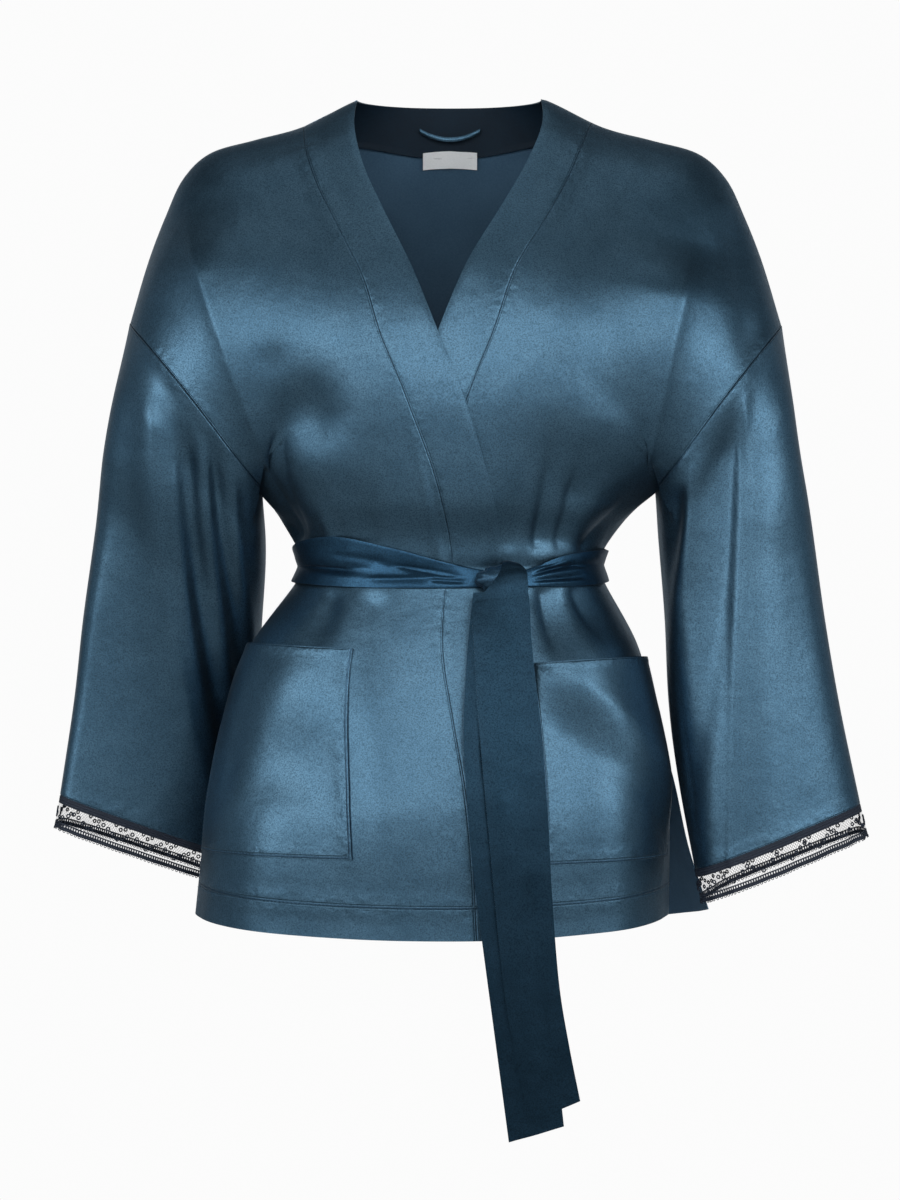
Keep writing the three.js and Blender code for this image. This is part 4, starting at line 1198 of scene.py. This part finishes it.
# The belt round the waist: its upper and lower edge from right to left over the front, and its
# creases, in the same columns as the body's.
belt = {
    "top": [-380, -374, -371.5, -381, -394, -403, -388, -382, -381],
    "bottom": [-411, -413, -415, -416, -416, -415, -415, -413, -410],
    "backTop": -374,
    "backBottom": -417,
    "lift": 3.0,
    "wall": 1.6,
    "around": 430,
    "down": 34,
    "creases": [
        (-104, -385, -44, -394.5, 1, 1.8, -1.6, 0.5),
        (-50, -393.5, 14, -407, -1, 1.4, -2.4, 0.5),
        (-128, -396.5, -74, -402.5, 1, 2, -2, 0.4),
        (-124, -389, -60, -391, 2, 5, 1.4, 0),
        (-76, -409, -6, -407.5, -0.5, 2, 1.2, 0),
        (-20, -409, 16, -411, 0, 1.4, -1.4, 0),
        (-120, -406, -60, -410, 1, 3, 1, 0),
        (64, -404, 104, -388, 1, 1.5, 1.3, 0.2),
        (64, -406, 108, -394, 1, 1.3, -1.5, 0),
        (64, -408, 116, -400, 1, 1.7, 1.3, 0.2),
        (64, -410.5, 112, -406, 0, 1.3, -1.4, 0),
        (64, -412.5, 116, -411, 0, 1.5, 1.1, 0),
        (96, -391, 130, -386, 0, 3, 0.8, 0),
    ],
    "backCreases": [
        (-120, -388, -20, -384, 2, 3, -1.4, 0),
        (-90, -402, 30, -398, -2, 3.5, 1.4, 0),
        (-30, -390, 90, -393, 2, 3, 1.3, 0),
        (10, -406, 120, -402, 1, 2.6, -1.4, 0),
        (40, -380, 124, -384, 1, 2.6, -1.2, 0),
        (-110, -411, -40, -410, 0, 2.4, -1, 0),
    ],
}


def beltPoint(u, v, depth):
    # u once round from the right side over the front, v from the upper to the lower edge
    u, v = np.broadcast_arrays(u, v)
    inFront = u < 0.5
    reach = np.where(inFront, blend(-1, 1, u * 2), blend(1, -1, u * 2 - 1))
    lastRow = len(belt["top"]) - 1
    row = np.where(inFront, (reach + 1) / 2 * lastRow, np.where(reach < 0, 0, lastRow))
    behind = np.where(inFront, 0, ease(1 - np.abs(reach), 0, 0.4))
    top = blend(column(belt["top"], row), belt["backTop"], behind)
    bottom = blend(column(belt["bottom"], row), belt["backBottom"], behind)
    level = levelAt(reach, blend(top, bottom, v), np.where(inFront, 1, -1))
    point = smoothBody(reach, level)
    x, z = point[..., 0], point[..., 2]
    creased = (creaseHeight(belt[name], x, z) for name in ("creases", "backCreases"))
    folds = np.where(inFront, *creased)
    crown = 1.1 * np.sin(np.pi * v) ** 0.5 - 0.5
    folds = folds * ease(1 - np.abs(reach), 0, 0.12)
    folds = np.maximum(folds + crown, -1.0) * (1 if depth == 0 else 0.5)
    lift = belt["lift"] + (belt["wall"] - depth) + folds
    return point + bodyNormal(reach, level) * lift[..., None]


u, v = turns(belt["around"]) / (2 * np.pi), np.linspace(0, 1, belt["down"])[:, None]
outer, inner = (beltPoint(u, v, depth) for depth in (0, 1.0))
beltWaist = makeCloth("belt_waist_satin", outer, inner, [beltWaistFace] * 2, tube=True)

knot = {
    "x": 41, "y": -106.4, "z": -408, "halfWidth": 21, "halfDepth": 10.5, "halfHeight": 12,
    "around": 96, "rings": 49, "twist": 14, "ripple": 0.02,
    # angle round the knot in degrees, width and depth of each crease between its wraps
    "creases": [
        (138, 9, 0.16), (104, 7, 0.1), (60, 9, 0.08), (12, 8, 0.1), (-40, 10, 0.12),
        (-95, 10, 0.1), (-140, 9, 0.12), (172, 8, 0.07),
    ],
}
# an ellipsoid whose poles lie in front and behind, drawn in along its creases
angle, rise = turns(knot["around"]), np.linspace(0, np.pi, knot["rings"])[:, None]
radial = 1.0 + 0 * rise * angle
for at, width, depth in knot["creases"]:
    off = (np.degrees(angle) + knot["twist"] * np.cos(rise) - at + 180) % 360 - 180
    radial = radial - depth * bell(off, width) * np.sin(rise)
radial = radial + knot["ripple"] * np.sin(9 * rise + 5 * angle) * np.sin(rise)
shape = points(
    knot["x"] + knot["halfWidth"] * radial * np.sin(rise) * np.cos(angle),
    knot["y"] - knot["halfDepth"] * np.cos(rise),
    knot["z"] + knot["halfHeight"] * radial * np.sin(rise) * np.sin(angle),
)
vertices = np.concatenate((shape[0, :1], shape[1:-1].reshape(-1, 3), shape[-1, :1]))
ring = np.arange(len(vertices) - 2).reshape(-1, knot["around"]) + 1
following = np.roll(ring, -1, axis=1)
sheet = quads(ring[:-1], following[:-1], following[1:], ring[1:])
first = np.stack((0 * ring[0], following[0], ring[0]), axis=1)
last = np.stack((0 * ring[0] + len(vertices) - 1, ring[-1], following[-1]), axis=1)
triangles = np.concatenate((first, last, sheet[:, [0, 1, 2]], sheet[:, [0, 2, 3]]))
if facesInward(vertices, triangles):
    triangles = triangles[:, ::-1]
uv = (vertices[triangles.ravel()][:, [0, 2]] - (knot["x"], knot["z"])) * 0.001
beltKnot = makeMesh("belt_knot_satin", vertices, triangles, [beltKnotFace], uv=uv, sharp=80)

# Each tail from the knot down: its two edges, how far forward it hangs, and its long creases.
tails = {
    "front": {
        "leftX": [41, 43.5, 42.5, 40.5, 33, 23, 18, 19.4, 23.4, 30, 36, 43, 52, 64.5],
        "rightX": [53, 52, 57, 62, 63.6, 63.8, 65, 66.7, 73.5, 79, 82.5, 88, 96, 105],
        "y": [
            -101, -107, -112.5, -116.8, -119.6, -121.3, -123.6, -132, -146, -155, -158, -158, -156,
            -153,
        ],
        "leftZ": [
            -396, -394.4, -397, -403, -413, -424, -433, -463, -528, -602, -668, -735, -790, -846,
        ],
        "rightZ": [
            -396, -395, -396.5, -401, -409, -419, -429, -463, -528, -602, -668, -735, -784, -829,
        ],
        "creases": [
            (52, -420, 56, -560, 3, 10, -1, 0),
            (44, -560, 54, -760, 3, 8, 1.2, 0),
            (62, -640, 82, -830, -3, 7, -1.2, 0),
        ],
    },
    "back": {
        "leftX": [19, 13.7, 11, 13, 18, 26, 34, 47.5],
        "rightX": [56, 59, 59, 61, 66, 74, 82, 92],
        "y": [-110.2, -123, -135, -145, -151, -153, -152.5, -149],
        "leftZ": [-419.2, -472, -532, -580, -640, -702, -762, -863],
        "rightZ": [-419.2, -472, -532, -580, -640, -702, -760, -850],
        "creases": [
            (22, -430, 18, -600, 2, 4, 1.5, 0),
            (34, -500, 44, -700, 3, 6, -1.6, 0),
            (48, -640, 66, -840, 3, 6, 1.6, 0),
        ],
    },
    "wall": 1.4,
    "grid": (30, 190),
}


def tailPoint(table, u, v, depth):
    # a strip between its two edges, crowned a little, with long soft folds
    u, v = np.broadcast_arrays(u, v)
    last = len(table["y"]) - 1
    step = 0.01

    def onTail(across, place):
        return points(
            blend(column(table["leftX"], place), column(table["rightX"], place), across),
            column(table["y"], place),
            blend(column(table["leftZ"], place), column(table["rightZ"], place), across),
        )

    place = v * last
    down = onTail(u, np.minimum(place + step, last)) - onTail(u, np.maximum(place - step, 0))
    aside = onTail(1 + 0 * u, place) - onTail(0 * u, place)
    normal = unit(np.cross(down, aside))
    base = onTail(u, place)
    folds = creaseHeight(table["creases"], base[..., 0], base[..., 2], "down")
    folds = folds * np.sin(np.pi * np.clip(u, 0.02, 0.98)) ** 0.5
    crown = 0.9 * np.sin(np.pi * u)
    return base + normal * (tails["wall"] * (1 - depth) + folds + crown)[..., None]


tailPieces = {}
for name in ("front", "back"):
    u, v = steps(*tails["grid"])
    outer, inner = (tailPoint(tails[name], u, v, depth) for depth in (0, 1))
    # the tails take the darker copy of the belt satin: painted shade
    tailPieces[name] = makeCloth(f"belt_tail_{name}_satin", outer, inner, [beltTailShadedFace, beltTailShadedFace])
print("belt made")

# The hanger loop: a strip whose ends are sewn to the neckband and whose middle stands off.
loop = {"halfWidth": 26, "endZ": -17, "sag": 8, "height": 4, "standOff": 7, "wall": 1.0}
p, q = np.linspace(-1, 1, 60)[None, :], np.linspace(0, 1, 7)[:, None]
free = 1 - p**2 + 0 * q
x = p * loop["halfWidth"] + 0 * q
turn = np.arccos(-x / ((body["edgeL"][0] - body["edgeR"][0]) / 2))
z = loop["endZ"] - loop["sag"] * free - q * loop["height"]
bandHeight = 38  # of the neckband behind the neck
y = backBandPoint(turn, 1 + z / bandHeight)[..., 1]
y = y - (panels["bandWall"] + body["seamGap"] + loop["standOff"] * free)
outer = points(x, y - loop["wall"] - 0.5 * np.sin(np.pi * q), z)
masks = seamMasks(np.full(outer.shape[:2], 9.0))
hangerLoop = makeCloth("hanger_loop_satin", outer, points(x, y, z), clothFaces, masks=masks)

label = {"halfWidth": 23.5, "top": -35.5, "bottom": -49.5, "wall": 0.7, "depth": 1.6}
p, q = np.linspace(-1, 1, 40)[None, :], np.linspace(0, 1, 14)[:, None]
level = levelAt(0 * p * q, blend(label["top"], label["bottom"], q) + 0 * p, -1)
reach = reachAt(level, p * label["halfWidth"] + 0 * q)


def labelPoint(depth):
    # inside the back panel, with a slight ripple, and standing off a little at its upper edge
    ripple = 0.25 * np.sin(p * 5 + q * 2)
    inward = label["depth"] + 2 * body["seamGap"] + depth
    point = bodyPoint(reach, level, -inward - ripple)
    point[..., 1] -= 1 - q
    return point


outer, inner = labelPoint(0.2 + label["wall"]), labelPoint(0.2)
labelPiece = makeCloth("label_blank", outer, inner, [labelFace, labelFace])
print("loop and label made")


def surfaceLine(function, u, v):
    # a line on a surface of u and v, and the surface's outward direction along it
    line = function(u, v, 0.0)
    return line, unit(function(u, v, 1.0) - line)


sewn = {"right": [], "left": [], "back": []}
lastRow = 65  # millimetres from the last level but one to the hem
along = np.linspace(0.004, 0.996, 300)
hemLine = np.full(along.shape, 1 - body["hemDepth"] / lastRow / hemLevel)
inset, foot, count = pockets["stitchInset"], pockets["footStitch"], 60
p = np.concatenate(
    (np.full(count, inset), np.linspace(inset, 1 - inset, count), np.full(count, 1 - inset))
)
q = np.concatenate(
    (np.linspace(0.005, foot, count), np.full(count, foot), np.linspace(foot, 0.005, count))
)
pocketLift = pockets["gap"] + pockets["wall"]
for side, hand in hands.items():

    def onHem(u, v, lift, hand=hand):
        return frontPoint(hand, u[:, None], v[:, None], lift)[:, 0]

    def roundPocket(p, q, lift, side=side):
        return onPocket(side, p[:, None], q[:, None], pocketLift + lift)[:, 0]

    sewn[side] += [surfaceLine(onHem, along, hemLine), surfaceLine(roundPocket, p, q)]


def onBackHem(u, v, lift):
    return backPoint(u[None], v[:1, None], lift)[0]


sewn["back"].append(surfaceLine(onBackHem, along, hemLine))
stitches = {name: makeStitches(f"stitches_{name}", rows, thread) for name, rows in sewn.items()}
print("sewing made")

# What each piece is.
for side in hands:
    flatSheet(
        fronts[side], f"front_{side}"
    )
    flatSheet(bands[side], f"neckband_{side}")
    flatSheet(sleevePieces[side], f"sleeve_{side}")
    lace, trim, girth = lacePieces[side]
    flatSheet(lace, f"lace_{side}")
    flatSheet(
        pocketPieces[side], f"pocket_{side}"
    )
flatSheet(backPiece, "back")
flatSheet(backBand, "neckband_back")
flatSheet(beltWaist, "belt_waist")
for name in ("front", "back"):
    flatSheet(tailPieces[name], f"belt_tail_{name}")
flatSheet(hangerLoop, "hanger_loop")
flatSheet(labelPiece, "label")
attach(beltKnot, "root")
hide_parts("belt_knot")

# The pale floor and backdrop, the light and the camera, in metres.
studio = {
    "floorZ": -1.05,
    "halfWidth": 5.0,
    "dim": 0.06,
    "bright": 0.68,
    "stage": (0.55, 0.55, 0.55, 1),
    # the floor and backdrop from the front to the back, as y and height over the floor
    "profile": [(-5.0, 0.0), (1.2, 0.0), (1.7, 0.08), (2.05, 0.35), (2.2, 0.8), (2.2, 5.0)],
    # each light's place, what it points at, its width, height and power
    "lights": {
        "leftPanel": ((-2.6, -2.4, 0.3), (0, 0, -0.3), 1.7, 1.1, 33),
        "rightPanel": ((2.6, -2.4, 0.3), (0, 0, -0.3), 1.7, 1.1, 33),
        "front": ((0.0, -3.4, 0.7), (0, 0, -0.2), 3.2, 1.1, 48),
        "lowFront": ((0.0, -1.8, -0.98), (0, 0, -0.3), 1.6, 0.3, 0.8),
        "overhead": ((0, -0.5, 1.5), (0, 0, -0.2), 1.6, 1.0, 4.5),
    },
}
profile, rows = np.array(studio["profile"]), 60
at = np.linspace(0, len(profile) - 1, rows)
curveY, curveZ = (np.interp(at, np.arange(len(profile)), profile[:, k]) for k in (0, 1))
widths = np.array([-studio["halfWidth"], studio["halfWidth"]])
stageGrid = points(widths[None, :], curveY[:, None], studio["floorZ"] + curveZ[:, None])
index = np.arange(2 * rows).reshape(rows, 2)
stageFaces = quads(index[:-1, 0], index[:-1, 1], index[1:, 1], index[1:, 0])
stageNodes = Nodes(bpy.data.materials.new("paleStage"))
stageNodes.shade(Base_Color=studio["stage"], Roughness=0.9)
seen = stageNodes.make("LightPath", {}, {}, "Is Camera Ray")
glow = stageNodes.make("Emission", {}, {"Color": (1, 1, 1, 1), "Strength": 0.97})
surface = Socket(stageNodes, stageNodes.shader.outputs[0])
mixed = stageNodes.make("MixShader", {}, {0: seen, 1: surface, 2: glow})
# the backdrop is clear from behind, for the views of the back
behind = stageNodes.make("NewGeometry", {}, {}, "Backfacing")
clear = stageNodes.make("BsdfTransparent", {}, {})
mixed = stageNodes.make("MixShader", {}, {0: behind, 1: mixed, 2: clear})
stageNodes.put(stageNodes.tree.nodes["Material Output"].inputs[0], mixed)
stagePoints = stageGrid.reshape(-1, 3) * 1000
makeMesh("floor_and_backdrop", stagePoints, stageFaces, [stageNodes.owner])

world = bpy.data.worlds.new("studio")
bpy.context.scene.world = world
sky = Nodes(world)
direction = sky.make("TexCoord", {}, {}, "Generated")
height, sideways = sky.part(direction, "Z"), sky.part(direction, "Y").size()
horizon = height.step(-0.35, 0.0) * (1 - height.step(0.2, 0.6)) * sideways.step(-0.6, 0.8)
background = sky.tree.nodes["Background"].inputs
sky.put(background["Strength"], studio["dim"] + studio["bright"] * horizon)
sky.put(background["Color"], (0.76, 0.9, 1, 1))


def areaLight(name, place, target, width, height, power):
    # a soft panel turned towards its target
    data = bpy.data.lights.new(name, "AREA")
    data.shape, data.size, data.size_y, data.energy = "RECTANGLE", width, height, power
    lamp = bpy.data.objects.new(name, data)
    lamp.location = place
    lamp.rotation_euler = (Vector(target) - Vector(place)).to_track_quat("-Z", "Y").to_euler()
    bpy.context.scene.collection.objects.link(lamp)


for name, values in studio["lights"].items():
    areaLight(name, *values)

view = {"distance": 3.0, "height": -0.425, "seenHeight": 1.02, "sensor": 36}
camera = bpy.data.cameras.new("camera")
camera.sensor_fit = "VERTICAL"
camera.sensor_height = view["sensor"]
camera.lens = view["sensor"] * view["distance"] / view["seenHeight"]
cameraObject = bpy.data.objects.new("camera", camera)
cameraObject.location = (0, -view["distance"], view["height"])
cameraObject.rotation_euler = (math.pi / 2, 0, 0)
bpy.context.scene.collection.objects.link(cameraObject)
bpy.context.scene.camera = cameraObject
bpy.context.scene.view_settings.view_transform = "Standard"

print("scene ready")
